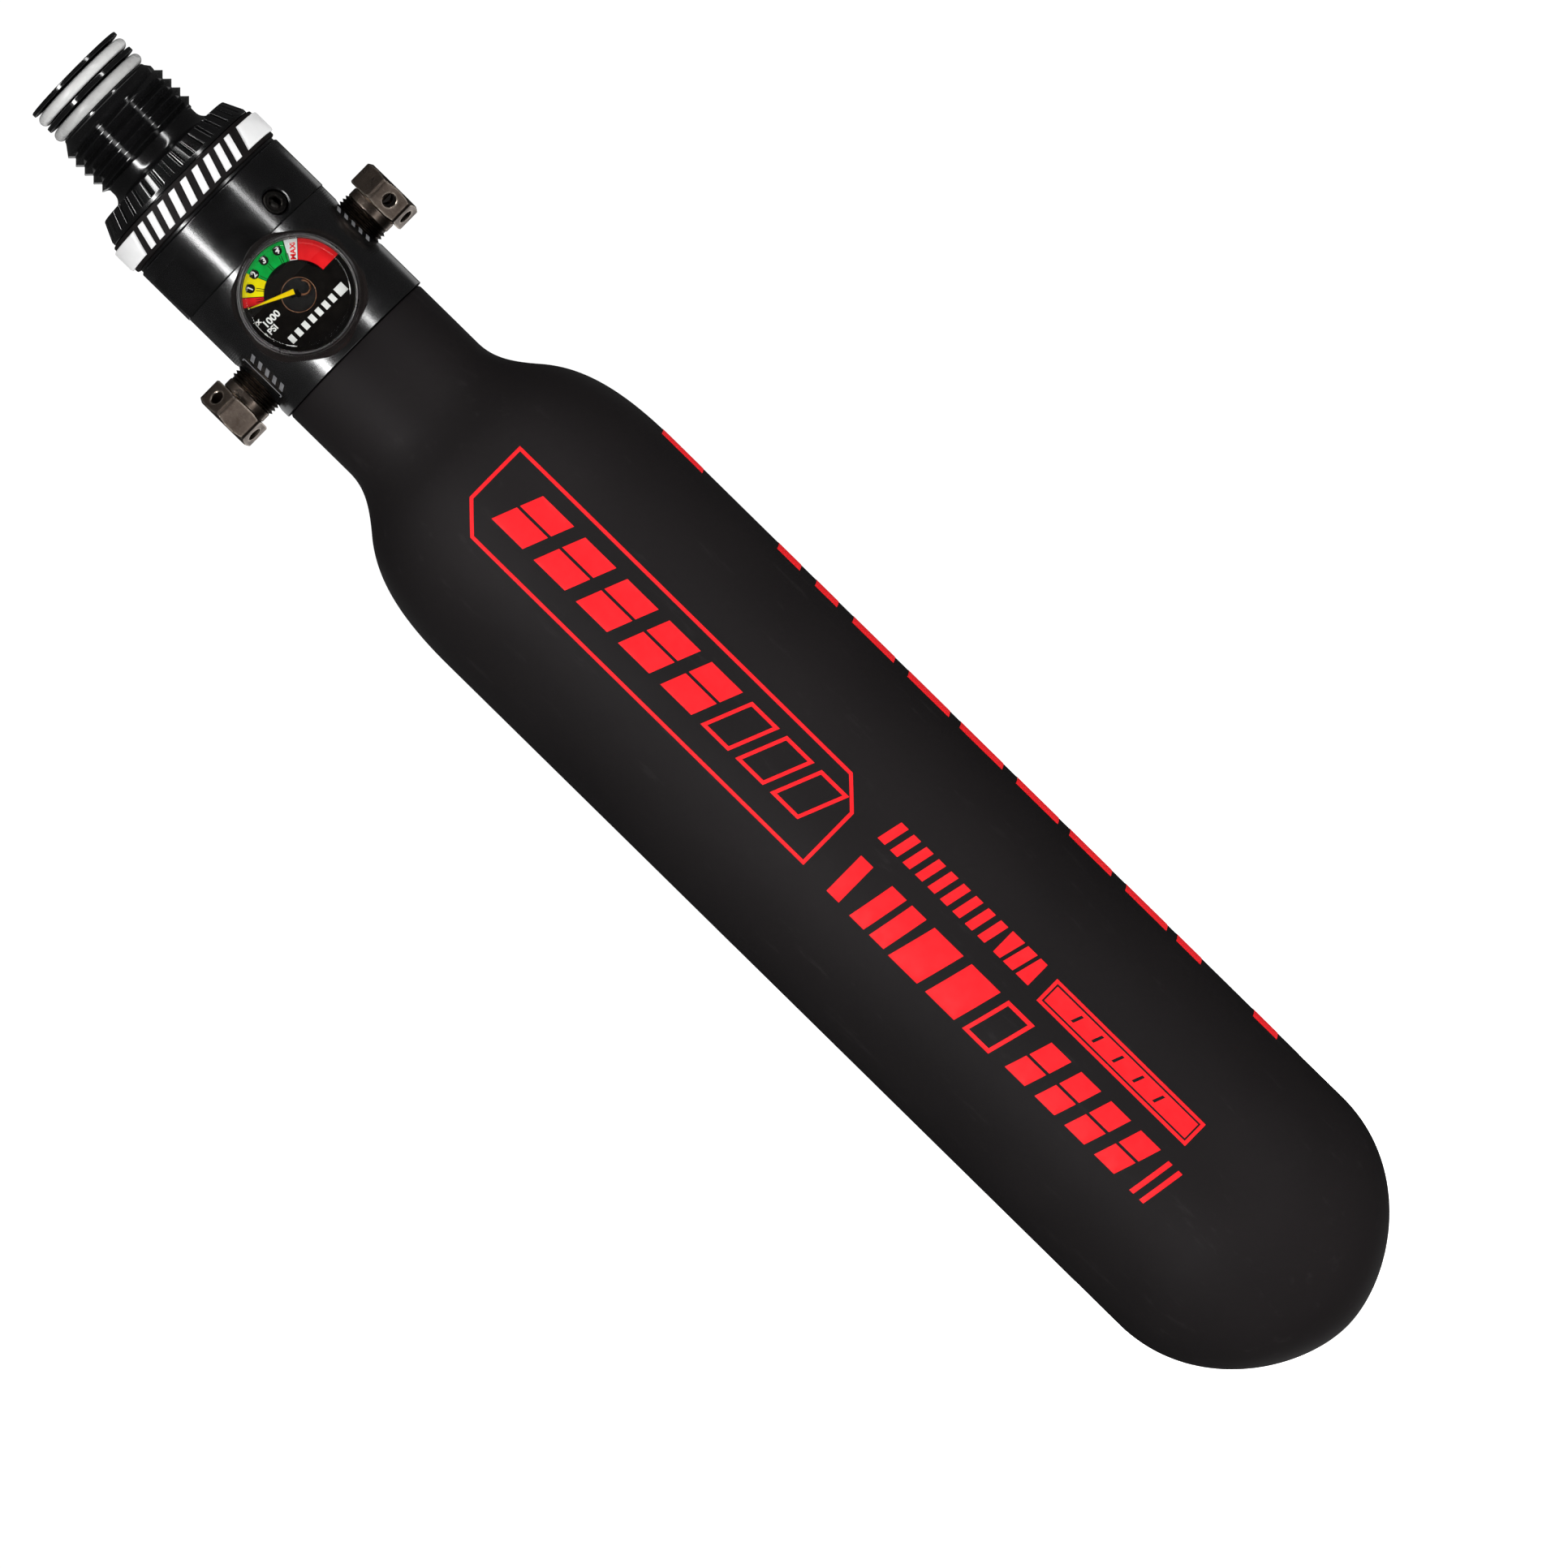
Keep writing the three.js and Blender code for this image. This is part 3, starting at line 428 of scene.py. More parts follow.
def softened(points, fillet, steps):
    """A closed profile with its corners rounded. A third number on a point is that corner's own size."""
    flat = [Vector(p[:2]) for p in points]
    rounded = []
    for i, corner in enumerate(flat):
        before, after = flat[i - 1] - corner, flat[(i + 1) % len(flat)] - corner
        size = points[i][2] if len(points[i]) > 2 else fillet
        size = min(size, 0.45 * before.length, 0.45 * after.length)
        if size < 1e-3 or corner.x == 0:
            rounded.append(tuple(corner))
            continue
        start, end = corner + before.normalized() * size, corner + after.normalized() * size
        for k in range(steps + 1):
            t = k / steps
            rounded.append(tuple(start * (1 - t) ** 2 + corner * 2 * t * (1 - t) + end * t ** 2))
    return rounded


def quads(low, high):
    """The faces between two closed rows of points."""
    return list(zip(low, low[1:] + low[:1], high[1:] + high[:1], high))


def polar(radius, angle):
    """The point at a distance from the origin and an angle in radians."""
    return radius * cos(angle), radius * sin(angle)


def turned(profile, segments=192, shape=None, angles=None):
    """Turns a closed (radius, height) profile about Z. shape(radius, height, angle) alters a radius."""
    angles = angles or [TAU * i / segments for i in range(segments)]
    count = len(angles)
    verts, rows = [], []
    for radius, height in profile:
        if radius == 0:
            rows.append([len(verts)] * count)
            verts.append((0, 0, height))
            continue
        rows.append(list(range(len(verts), len(verts) + count)))
        for a in angles:
            verts.append((*polar(shape(radius, height, a) if shape else radius, a), height))
    rings = zip(rows, rows[1:] + rows[:1])
    faces = [list(dict.fromkeys(corners)) for ring in rings for corners in quads(*ring)]
    return mesh_from(verts, [corners for corners in faces if len(corners) > 2])


def lathe(points, fillet, steps, *about, **how):
    """Turns a profile whose corners are rounded."""
    return turned(softened(points, fillet, steps), *about, **how)


def circle(x, y, radius, count):
    """Points round a circle."""
    angles = [TAU * k / count for k in range(count)]
    return [(x + radius * cos(a), y + radius * sin(a)) for a in angles]


def bezier(p0, p1, p2, p3, steps):
    """Points along a cubic curve."""
    points = []
    for k in range(steps + 1):
        t = k / steps
        u = 1 - t
        weights = (u ** 3, 3 * u * u * t, 3 * u * t * t, t ** 3)
        points.append(tuple(sum(w * p[i] for w, p in zip(weights, (p0, p1, p2, p3))) for i in (0, 1)))
    return points


# One turn of a thread's outline, as (part of the pitch, part of the depth).
THREAD_FORM = ((0, 0), (0.025, 0.01), (0.05, 0.06), (0.43, 0.88), (0.455, 0.955), (0.48, 0.995),
               (0.52, 0.995), (0.545, 0.955), (0.57, 0.88), (0.95, 0.06), (0.975, 0.01))


def threaded(root, crest, pitch, bottom, top, limit=None, segments=144, lead=0.0):
    """The outside of a screw thread, open at both ends. limit(height) caps the radius. lead is the
    part of a turn that the helix starts early."""
    turns = ceil((top - bottom) / pitch) + 2
    rows = [(turn + f, h) for turn in range(turns) for f, h in THREAD_FORM]
    verts, faces = [], []
    for i in range(segments + 1):
        a = TAU * i / segments
        for along, height in rows:
            z = min(max(bottom + (along - 1 + lead + i / segments) * pitch, bottom), top)
            fade = min(1, (z - bottom) / (0.25 * pitch) + 0.02, (top - z) / (0.25 * pitch) + 0.02)
            r = root + (crest - root) * height * max(0, fade)
            if limit:
                r = min(r, limit(z))
            verts.append((*polar(r, a), z))
    count = len(rows)
    for i in range(segments):
        for j in range(count - 1):
            a = i * count + j
            faces.append((a, a + count, a + count + 1, a + 1))
    return mesh_from(verts, faces)


def offset(angle, centre, period):
    """How far an angle, in radians, is from the nearest of evenly spaced centres, in degrees."""
    return (degrees(angle) - centre + period / 2) % period - period / 2


def hexagon(flat, corner, turn):
    """A radius function for a hexagonal bar with blunt corners, whose first corner is at turn."""

    def radius(r, _, angle):
        side = flat / cos(radians(30 - abs(offset(angle, turn, 60))))
        return min(r, side, corner)

    return radius


def hexagon_angles(turn):
    """Angles that put points close to each corner and evenly along each side."""
    steps = (0, 0.5, 1, 1.6, 2.4, 4, 7, 11, 15, 19, 23, 26.5, 30)
    offsets = sorted({s for step in steps for s in (step, -step)})[:-1]
    return [radians(turn + 60 * k + off) for k in range(6) for off in offsets]


def carved(mesh, *cutters):
    """A mesh with other meshes cut out of it."""
    target, tools = added("carving", mesh), [added("cutter", cutter) for cutter in cutters]
    for tool in tools:
        cut = target.modifiers.new("cut", "BOOLEAN")
        cut.object, cut.operation, cut.solver = tool, "DIFFERENCE", "EXACT"
    graph = bpy.context.evaluated_depsgraph_get()
    result = bpy.data.meshes.new_from_object(target.evaluated_get(graph))
    for made in (target, *tools):
        bpy.data.objects.remove(made)
    return result


def inset(points, distance):
    """A closed outline moved inwards. The outline runs anticlockwise."""
    moved = []
    flat = [Vector(p) for p in points]
    for i, p in enumerate(flat):
        a, b = (p - flat[i - 1]).normalized(), (flat[(i + 1) % len(flat)] - p).normalized()
        na, nb = Vector((-a.y, a.x)), Vector((-b.y, b.x))
        mitre = (na + nb) / max(0.3, 1 + na.dot(nb))
        moved.append(tuple(p + mitre * distance))
    return moved


def anticlockwise(points):
    """The same outline, run anticlockwise."""
    area = sum(a[0] * b[1] - b[0] * a[1] for a, b in zip(points, [*points[1:], points[0]]))
    return points if area > 0 else points[::-1]


def slabs(shapes, top, depth, edge):
    """A mesh of flat slabs with softened upper edges. A shape is an outline, or (outline, line width)."""
    work = bmesh.new()

    def loops(points, outward=1):
        levels = ((0, top - depth), (0, top - edge), (0.3 * edge, top - 0.3 * edge), (edge, top))
        rows = [[work.verts.new((*p, w)) for p in inset(points, outward * d)] for d, w in levels]
        for ring in zip(rows, rows[1:]):
            for corners in quads(*ring):
                work.faces.new(corners)
        return rows[-1]

    for shape in shapes:
        if isinstance(shape[0][0], (int, float)):
            work.faces.new(loops(anticlockwise(shape)))
            continue
        outline, line = anticlockwise(shape[0]), shape[1]
        for corners in quads(loops(outline), loops(inset(outline, line), -1)):
            work.faces.new(corners)
    bmesh.ops.triangulate(work, faces=work.faces, ngon_method="EAR_CLIP")
    bmesh.ops.recalc_face_normals(work, faces=work.faces)
    return mesh_of(work)


def wrapped(mesh, radius_of, step, rows=()):
    """Bends a flat mesh of (arc, height, lift) round the upright axis, with the front at arc 0."""
    work = bmesh.new()
    work.from_mesh(mesh)
    lo, hi = (f(v.co.x for v in work.verts) for f in (min, max))
    cuts = [((step * k, 0, 0), (1, 0, 0)) for k in range(ceil(lo / step), ceil(hi / step))]
    cuts += [((0, height, 0), (0, 1, 0)) for height in rows]
    for place, normal in cuts:
        everything = work.verts[:] + work.edges[:] + work.faces[:]
        bmesh.ops.bisect_plane(work, geom=everything, plane_co=place, plane_no=normal)
    for v in work.verts:
        arc, height, lift = v.co
        radius = radius_of(height)
        v.co = from_front(degrees(arc / radius)) * (radius + lift) + Vector((0, 0, height))
    return mesh_of(work)


def sector(inner, outer, start, end):
    """The outline of a ring sector, in degrees, with a point every two degrees or so."""
    count = max(2, ceil((end - start) / 2))
    angles = [radians(start + (end - start) * k / count) for k in range(count + 1)]
    return [polar(outer, a) for a in angles] + [polar(inner, a) for a in reversed(angles)]


def bar(x0, x1, y0, y1, lean=0.0):
    """A block whose far side is shifted by lean."""
    return [(x0, y0), (x1, y0 + lean), (x1, y1 + lean), (x0, y1)]


def bars(x0, x1, height, lean, *lows):
    """Blocks of one height above each other."""
    return [bar(x0, x1, low, low + height, lean) for low in lows]


def lettering(text, size, centre, turn=0.0):
    """Plain built-in lettering as a thin flat mesh centred on a point."""
    curve = bpy.data.curves.new("lettering", "FONT")
    curve.body, curve.size, curve.extrude = text, size, 0.02
    curve.align_x, curve.align_y, curve.offset = "CENTER", "CENTER", size * 0.03
    holder = added("lettering", curve)
    graph = bpy.context.evaluated_depsgraph_get()
    mesh = bpy.data.meshes.new_from_object(holder.evaluated_get(graph))
    bpy.data.objects.remove(holder)
    spin = Matrix.Rotation(radians(turn), 4, "Z")
    mesh.transform(Matrix.Translation(centre) @ spin)
    return mesh


# ---- bottle

DOME_TOP, SHOULDER_START, SHOULDER_END = 26.1, 176, 208.5
BOTTLE_NECK, BOTTLE_BORE, WALL = 14.55, 10.1, 4.8
OUTLINE = [
    *bezier((0, 0), (10.5, 0), (BOTTLE_RADIUS, DOME_TOP - 16), (BOTTLE_RADIUS, DOME_TOP), 40),
    *[(BOTTLE_RADIUS, z) for z in range(40, 171, 10)],
    *bezier((BOTTLE_RADIUS, SHOULDER_START), (BOTTLE_RADIUS, 188), (23.1, 194.4), (19.2, 199), 26),
    *bezier((19.2, 199), (16.3, 202.4), (BOTTLE_NECK, 205), (BOTTLE_NECK, SHOULDER_END), 20)[1:],
]


def bottle_radius(height):
    """The bottle's outer radius at a height."""
    for (r0, z0), (r1, z1) in zip(OUTLINE, OUTLINE[1:]):
        if z0 <= height <= z1:
            return r0 + (r1 - r0) * (height - z0) / max(z1 - z0, 1e-9)
    return BOTTLE_NECK


inside = BOTTLE_RADIUS - WALL
cavity = [
    *bezier((8.1, 202), (15.1, 200), (inside, 188), (inside, SHOULDER_START), 14),
    *bezier((inside, DOME_TOP + 2), (inside, 13), (9, WALL + 0.7), (0, WALL + 0.7), 16),
]
lip = [(BOTTLE_NECK, BOTTLE_TOP - 0.5), (BOTTLE_NECK - 0.12, BOTTLE_TOP - 0.15),
       (BOTTLE_NECK - 0.4, BOTTLE_TOP), (BOTTLE_BORE, BOTTLE_TOP), (BOTTLE_BORE, BOTTLE_TOP - 2.2),
       (8.1, BOTTLE_TOP - 2.2)]
piece("bottle_coated", turned([*OUTLINE, *lip, *cavity], 256), COATING, "bottle")

# The print. Arc runs from the front towards +X and height up the bottle; both are in millimetres.

FRAME = [(-8.55, 187.2), (-8.55, 113.35), (3.0, 113.35), (7.6, 118.0), (7.6, 191.8), (-3.9, 191.8)]
INK_LINE = 0.62
red = [(FRAME, INK_LINE)]
pitch, slant = 9.35, -3.4
for k in range(5):
    top = 186.9 - pitch * k
    red.append(bar(-3.9, 0.2, top - 6.9, top, slant * 0.48))
    red.append(bar(0.7, 4.4, top - 6.9 + slant * 0.54, top + slant * 0.54, slant * 0.44))
for k in range(3):
    top = 140.6 - 7.7 * k
    red.append((bar(-3.9, 4.4, top - 6.1, top, slant), INK_LINE))

for k in range(9):
    top = 108.0 - 2.76 * k
    red.append(bar(2.9, 7.4, top - 1.6, top, -1.0))
red += [bar(2.9, 7.5, 74.7, 82.4), bar(2.2, 7.0, 39.2, 72.1)]
red += [bar(-8.9, -0.9, 105.2, 107.9), *bars(-9.2, -0.9, 3.2, -1.6, 99.4, 95.0)]
red += bars(-9.4, -0.9, 6.4, -2.2, 87.4, 79.2)
red.append((bar(-9.4, -0.9, 71.6, 77.4, -2.2), 0.7))
for k in range(4):
    low = 63.9 - 6.6 * k
    red += [bar(-9.0, -5.2, low, low + 4.4, -1.2), bar(-4.7, -0.9, low - 1.4, low + 3.0, -1.2)]
red += bars(-9.1, -1.3, 0.9, -1.2, 39.7, 37.5)

# A taller row of blocks runs down the +X side, past the edge of the front view.
side_start, side_end = 33.2, 56.5
red.append(bar(side_start + 0.9, side_end, 168.4, 177.4, 2))
for low, high in (
    (146.5, 151.5), (138.2, 143.1), (125.6, 134.8), (113.3, 122.5), (101.4, 110.9),
    (89.0, 98.3), (77.2, 86.5), (64.8, 74.0), (57.2, 62.6), (40.2, 45.5),
):
    red.append(bar(side_start, side_end, low, high, 2))

cut_out = [(bar(2.75, 6.45, 39.8, 71.5), 0.3)]
cut_out += [bar(3.7, 5.5, top - 0.55, top, -0.7) for top in (48, 52.5, 57, 61.5, 66)]
cut_out += bars(2.9, 7.5, 0.7, -1.2, 77.4, 80.2)

shoulder_rows = [SHOULDER_START + 1.5 * k for k in range(12)]
for name, shapes, look, lift in (
    ("bottle_print", red, RED, 0.05), ("bottle_print_gaps", cut_out, COATING, 0.08),
):
    flat = slabs(shapes, lift, 0.12, 0.03)
    piece(name, wrapped(flat, bottle_radius, 1.1, shoulder_rows), look)

# ---- regulator body

STEM_RADIUS, STEM_BOTTOM, BOSS_RADIUS, BOSS_TOP = 8, 206, 12.4, 250
body = lathe([
    (1.2, STEM_BOTTOM), (STEM_RADIUS, STEM_BOTTOM, 0.5), (STEM_RADIUS, BODY_BOTTOM, 0),
    (BODY_RADIUS, BODY_BOTTOM, 0.14), (BODY_RADIUS, BODY_TOP, 0.1), (BOSS_RADIUS, BODY_TOP, 0),
    (BOSS_RADIUS, BOSS_TOP, 0.3), (8, BOSS_TOP, 0.2), (8, 243.2, 0), (4.05, 243.2, 0),
    (4.05, 231.6, 0), (1.2, 231.6, 0),
], 0.15, 4, 240)
PLUG_PORT, PIPE_PORT, PORT_FLOOR, COUNTERSINK = 4.75, 5.0, 7.5, 0.9


def port(place, radius):
    """A cutter for a port: a bore with a countersunk mouth."""
    mouth, wide = BODY_RADIUS - COUNTERSINK / 2, radius + COUNTERSINK
    mesh = turned([(0, PORT_FLOOR), (radius, PORT_FLOOR), (radius, mouth), (wide, mouth + COUNTERSINK),
                   (wide, mouth + 3), (0, mouth + 3)], 72)
    mesh.transform(place)
    return mesh


body = carved(body, port(AT_LOW_PORT, PLUG_PORT), port(AT_HIGH_PORT, PLUG_PORT),
              port(AT_GAUGE, PIPE_PORT), port(AT_FILL, PIPE_PORT))
piece("regulator_body_turned", body, GLOSS_BLACK, "regulator_body")

# Small printed port marks: a bracket and bars beside one plug, and bars beside the other.
marks = [bar(-16.6, -16.35, 224.6, 233.2), *bars(-17.2, -16.35, 0.25, 0, 224.6, 232.95)]
marks += bars(-15.4, -13.7, 0.75, 0.5, 225.0, 226.6, 228.2, 229.8, 231.4)
marks += bars(17.7, 19.4, 0.75, 0.5, 232.0, 233.6, 235.2, 236.8, 238.4)
marks = wrapped(slabs(marks, 0.04, 0.1, 0.02), lambda _: BODY_RADIUS, 0.5)
piece("port_marks", marks, MARKING)

# ---- bonnet

FLATS = (FLAT_ANGLE - 90, FLAT_ANGLE + 90)
FLAT_HALF = degrees(acos(FLAT_DISTANCE / BONNET_RADIUS))
BONNET_BORE, BAND_SEAT, BAND_WALL, COLLAR_RADIUS = 12.45, 13.7, 14.8, 14.9


def skirt_angles():
    """Even angles with extra ones where each wrench flat starts and ends."""
    angles = {round(1.5 * k, 4) for k in range(240)}
    for centre in FLATS:
        for side in (-1, 1):
            edge = (centre + side * FLAT_HALF) % 360
            angles = {a for a in angles if abs(a - edge) > 0.35}
            angles |= {round(edge - 0.12, 4), round(edge + 0.12, 4)}
    return [radians(a) for a in sorted(angles)]


def skirt_shape(radius, height, angle):
    """The skirt's radius, brought in to the wrench flats below their top edge."""
    if height > FLAT_TOP or radius < FLAT_DISTANCE:
        return radius
    for centre in FLATS:
        off = offset(angle, centre, 360)
        if abs(off) < 80:
            flat = FLAT_DISTANCE / cos(radians(off))
            radius = min(radius, flat * (radius / BONNET_RADIUS) ** 0.5)
    return radius


skirt = lathe([
    (BONNET_BORE, BONNET_BOTTOM), (BONNET_RADIUS, BONNET_BOTTOM, 0.16),
    (BONNET_RADIUS, FLAT_TOP - 0.02, 0.02), (BONNET_RADIUS, FLAT_TOP + 0.02, 0.02),
    (BONNET_RADIUS, 254.1, 0.12), (BAND_WALL, 254.38, 0.08), (BAND_WALL, BAND_LOW - 0.1, 0),
    (BAND_SEAT, BAND_LOW - 0.1, 0), (BAND_SEAT, BAND_HIGH + 0.1, 0), (BONNET_BORE, BAND_HIGH + 0.1, 0),
], 0.1, 4, shape=skirt_shape, angles=skirt_angles())
screw_seat = turned([(0, 12.2), (2.25, 12.2), (2.25, 14.75), (2.75, 15.35), (2.75, 17), (0, 17)], 64)
screw_seat.transform(AT_SCREW)
piece("bonnet_skirt", carved(skirt, screw_seat), SMOOTH_BLACK, "bonnet")

FLUTE_WIDTH, FLUTE_DEPTH = 2.2, 0.5


def flute_angles():
    """Angles that put points close to the edges of each groove."""
    offsets = (-4.5, -3, -1.7, -1.4, -1.2, -1.08, -0.9, -0.5, 0, 0.5, 0.9, 1.08, 1.2, 1.4, 1.7, 3)
    return [radians(FLUTE_PHASE - 90 + FLUTE_PITCH * k + off) for k in range(40) for off in offsets]


def flute_shape(radius, height, angle):
    """The cone's radius with narrow round-bottomed grooves cut down it."""
    if radius < 12.6 or height < 261.32:
        return radius
    off = abs(offset(angle, FLUTE_PHASE - 90, FLUTE_PITCH))
    half = FLUTE_WIDTH / 2
    if off < half:
        return radius - FLUTE_DEPTH * sqrt(max(0, 1 - (off / half) ** 2))
    round_over = max(0, 1 - (off - half) / 0.6)
    return radius - 0.1 * round_over ** 2


collar = lathe([
    (BONNET_BORE, BAND_HIGH + 0.1), (COLLAR_RADIUS, BAND_HIGH + 0.1, 0.15), (COLLAR_RADIUS, 261.2, 0.1),
    (14.84, 261.34, 0), (14.82, 261.38, 0), (13.4, SHOULDER, 0.22), (NECK_RADIUS + 1.1, SHOULDER, 0.9),
    (NECK_RADIUS, SHOULDER + 1.2, 0.8), (NECK_RADIUS, OUTLET["bottom"] + 0.2),
    (VALVE_BORE, OUTLET["bottom"] + 0.2), (VALVE_BORE, 266.6), (1.5, 266.6),
    (1.5, 262.5), (9.5, 262.5), (9.5, BAND_HIGH + 0.1),
], 0.1, 6, shape=flute_shape, angles=flute_angles())
piece("bonnet_fluted_collar", collar, FINE_BLACK, "bonnet")


def tip_limit(height):
    """The outlet thread's crests are chamfered towards the tip."""
    return min(OUTLET["crest"], 8.9 + max(0, OUTLET["top"] - height) * 0.75)


outlet_thread = threaded(**OUTLET, limit=tip_limit)
piece("bonnet_outlet_thread", outlet_thread, PLAIN_BLACK, "bonnet")

core, groove = OUTLET["root"] - 0.02, RING_RADIUS - RING_CORD
tip = lathe([
    (VALVE_BORE, 267.4), (core, 267.4, 0), (core, 276.7, 0),
    (8.86, 277.45, 0.05), (8.7, REAR_RING - 1.0, 0.15), (groove, REAR_RING - 0.98, 0.2),
    (groove, REAR_RING + 1.3, 0.3), (FLANGE_RADIUS, REAR_RING + 1.5, 0.12),
    (FLANGE_RADIUS, FRONT_RING - 1.25, 0.12), (groove, FRONT_RING - 1.1, 0.3),
    (groove, FRONT_RING + 1.2, 0.3), (FLANGE_RADIUS, FRONT_RING + 1.45, 0.1),
    (FLANGE_RADIUS, BONNET_TOP, 0.2),
    (VALVE_BORE + 1.2, BONNET_TOP, 0.15), (VALVE_BORE, BONNET_TOP - 0.8, 0.15),
], 0.1, 5, 160)
piece("bonnet_outlet_tip", tip, PLAIN_BLACK, "bonnet")

# The rear ring takes the darker copy of the ring material: painted shade.
for name, height, look in (("rear", REAR_RING + 0.12, RING_SHADED_REAR), ("front", FRONT_RING + 0.04, RING)):
    cord = circle(RING_RADIUS, height, RING_CORD, 32)
    piece(f"outlet_o_ring_{name}_cord", turned(cord, 176), look,
          f"outlet_o_ring_{name}")

# ---- set screw, valve pin and retainer


def hex_socket(across, bottom, top, turn=0):
    """A cutter for a hexagon socket with a chamfered mouth and a drilled point."""
    corner = across / 2 / cos(pi / 6)
    profile = [(0, bottom - 0.5), (across / 2 * 0.8, bottom), (corner, bottom), (corner, top - 0.12),
               (corner + 0.3, top + 0.18), (corner + 0.3, top + 2), (0, top + 2)]
    shape = hexagon(across / 2, corner, turn)
    return turned(profile, shape=lambda r, z, a: shape(r, z, a) if z < top else r,
                  angles=hexagon_angles(turn))


SCREW_TOP = 14.62
screw = lathe([
    (0, 12.6), (1.9, 12.6), (2.15, 12.9), (2.15, 14.35), (1.95, SCREW_TOP), (1.45, SCREW_TOP),
    (0, SCREW_TOP),
], 0.12, 3, 72)
screw = carved(screw, hex_socket(2.0, 13.2, SCREW_TOP, 12))
piece("bonnet_set_screw_head", screw, STEEL_BLACK, "bonnet_set_screw",
      place=AT_SCREW)

pin = lathe([
    (0, 271.6), (1.2, 271.6), (1.2, 273.2, 0), (3, 273.2), (3, 275.4), (1.45, 275.4, 0.05),
    (1.45, PIN_TOP, 0.3), (0, PIN_TOP),
], 0.15, 4, 64)
piece("valve_pin_turned", pin, BRASS, "valve_pin", "valve_pin")

# A square bar laid across the retainer cuts its screwdriver slot.
corner, reach = 0.6 * sqrt(2), 7
slot_cut = turned([(0, -reach), (corner, -reach), (corner, reach), (0, reach)],
                  angles=[radians(45 + 90 * k) for k in range(4)])
slot_cut.transform(Matrix.Translation((0, 0, RETAINER_TOP)) @ Matrix.Rotation(pi / 2, 4, "Y"))
retainer = lathe([
    (1.5, 276.5), (4.05, 276.5), (4.05, RETAINER_TOP, 0.3), (2.6, RETAINER_TOP, 0.12),
    (2.6, RETAINER_TOP - 1.6, 0.1), (1.5, RETAINER_TOP - 1.6, 0.15),
], 0.1, 3, 96)
piece("valve_retainer_slotted", carved(retainer, slot_cut), GUNMETAL,
      "valve_pin_retainer")

# ---- grip band

BAND_RADIUS, PAD_HALF, SLASH_HALF = 15.4, 2.02, 2.05
BAND_MIDDLE = (BAND_LOW + BAND_HIGH) / 2
strip = lathe([
    (13.75, BAND_LOW), (BAND_RADIUS, BAND_LOW, 0.35), (BAND_RADIUS, BAND_HIGH, 0.35), (13.75, BAND_HIGH),
], 0.1, 5)
piece("grip_band_strip", strip, BAND, "grip_band")


def slanted(half, *arcs):
    """An outline across the band, from the arcs of its lower two and its upper two corners."""
    return list(zip(arcs, [BAND_MIDDLE + side * half for side in (-1, -1, 1, 1)]))


def on_band(name, outlines, lift, depth, edge, step):
    """Raised white shapes on the band."""
    flat = slabs(outlines, lift, depth, edge)
    piece(name, wrapped(flat, lambda _: BAND_RADIUS, step), PAD)


pads = []
for side, start in ((-1, 49.6), (1, 47.6)):
    far, near = side * BAND_RADIUS * radians(94), side * BAND_RADIUS * radians(start)
    pads.append(slanted(PAD_HALF, far, near - 0.9, near + 0.9, far))
on_band("grip_band_pads", pads, 0.55, 0.75, 0.28, 0.9)
starts = [-11.6 + 2.62 * k for k in range(9)]
slashes = [slanted(SLASH_HALF, x - 0.75, x + 0.55, x + 1.95, x + 0.65) for x in starts]
on_band("grip_band_slashes", slashes, 0.32, 0.5, 0.16, 0.7)

# ---- burst-disc plugs

PLUG_CORNER, HEX_BASE, HEX_END, VENT_AT, VENT = 14, 18.6, 23.1, 20.8, 1.12
BASE_CUT, END_CUT, PLUG_ROOT = 0.3, 0.55, 4.05
HEX_FLAT = 5.75 * cos(pi / 6)


def vent(angle):
    """A cutter for a vent from the middle of the head, flared where it leaves the flat."""
    wide = VENT + 0.5
    mesh = turned([(0, 0.3), (VENT, 0.3), (VENT, HEX_FLAT - 0.1), (wide, HEX_FLAT + 0.35), (wide, 8),
                   (0, 8)], 48)
    aim = Matrix.Rotation(radians(angle), 4, "Z") @ Matrix.Rotation(pi / 2, 4, "Y")
    mesh.transform(Matrix.Translation((0, 0, VENT_AT)) @ aim)
    return mesh


def hex_profile(low, high, low_cut, high_cut, reach):
    """Levels for a hexagon's turned-off corners, closed on the axis."""
    rise = [low + low_cut * k / 8 for k in range(9)]
    fall = [high - high_cut * (8 - k) / 8 for k in range(9)]
    return [(0, low), *[(reach, z) for z in rise + fall], (0, high)]


def chamfered_hex(flat, turn, low, high, low_cut, high_cut, reach, slope=0.55):
    """A hexagon whose corners are turned off at both ends. reach is past its corners."""
    corner = flat / cos(pi / 6)
    base = hexagon(flat, corner * 0.992, turn)

    def radius(r, z, angle):
        cut = max(0, (low_cut - (z - low)) / slope, (high_cut - (high - z)) / slope)
        return min(base(r, z, angle), corner + 0.01 - cut)

    profile = hex_profile(low, high, low_cut, high_cut, reach)
    return turned(profile, shape=radius, angles=hexagon_angles(turn))


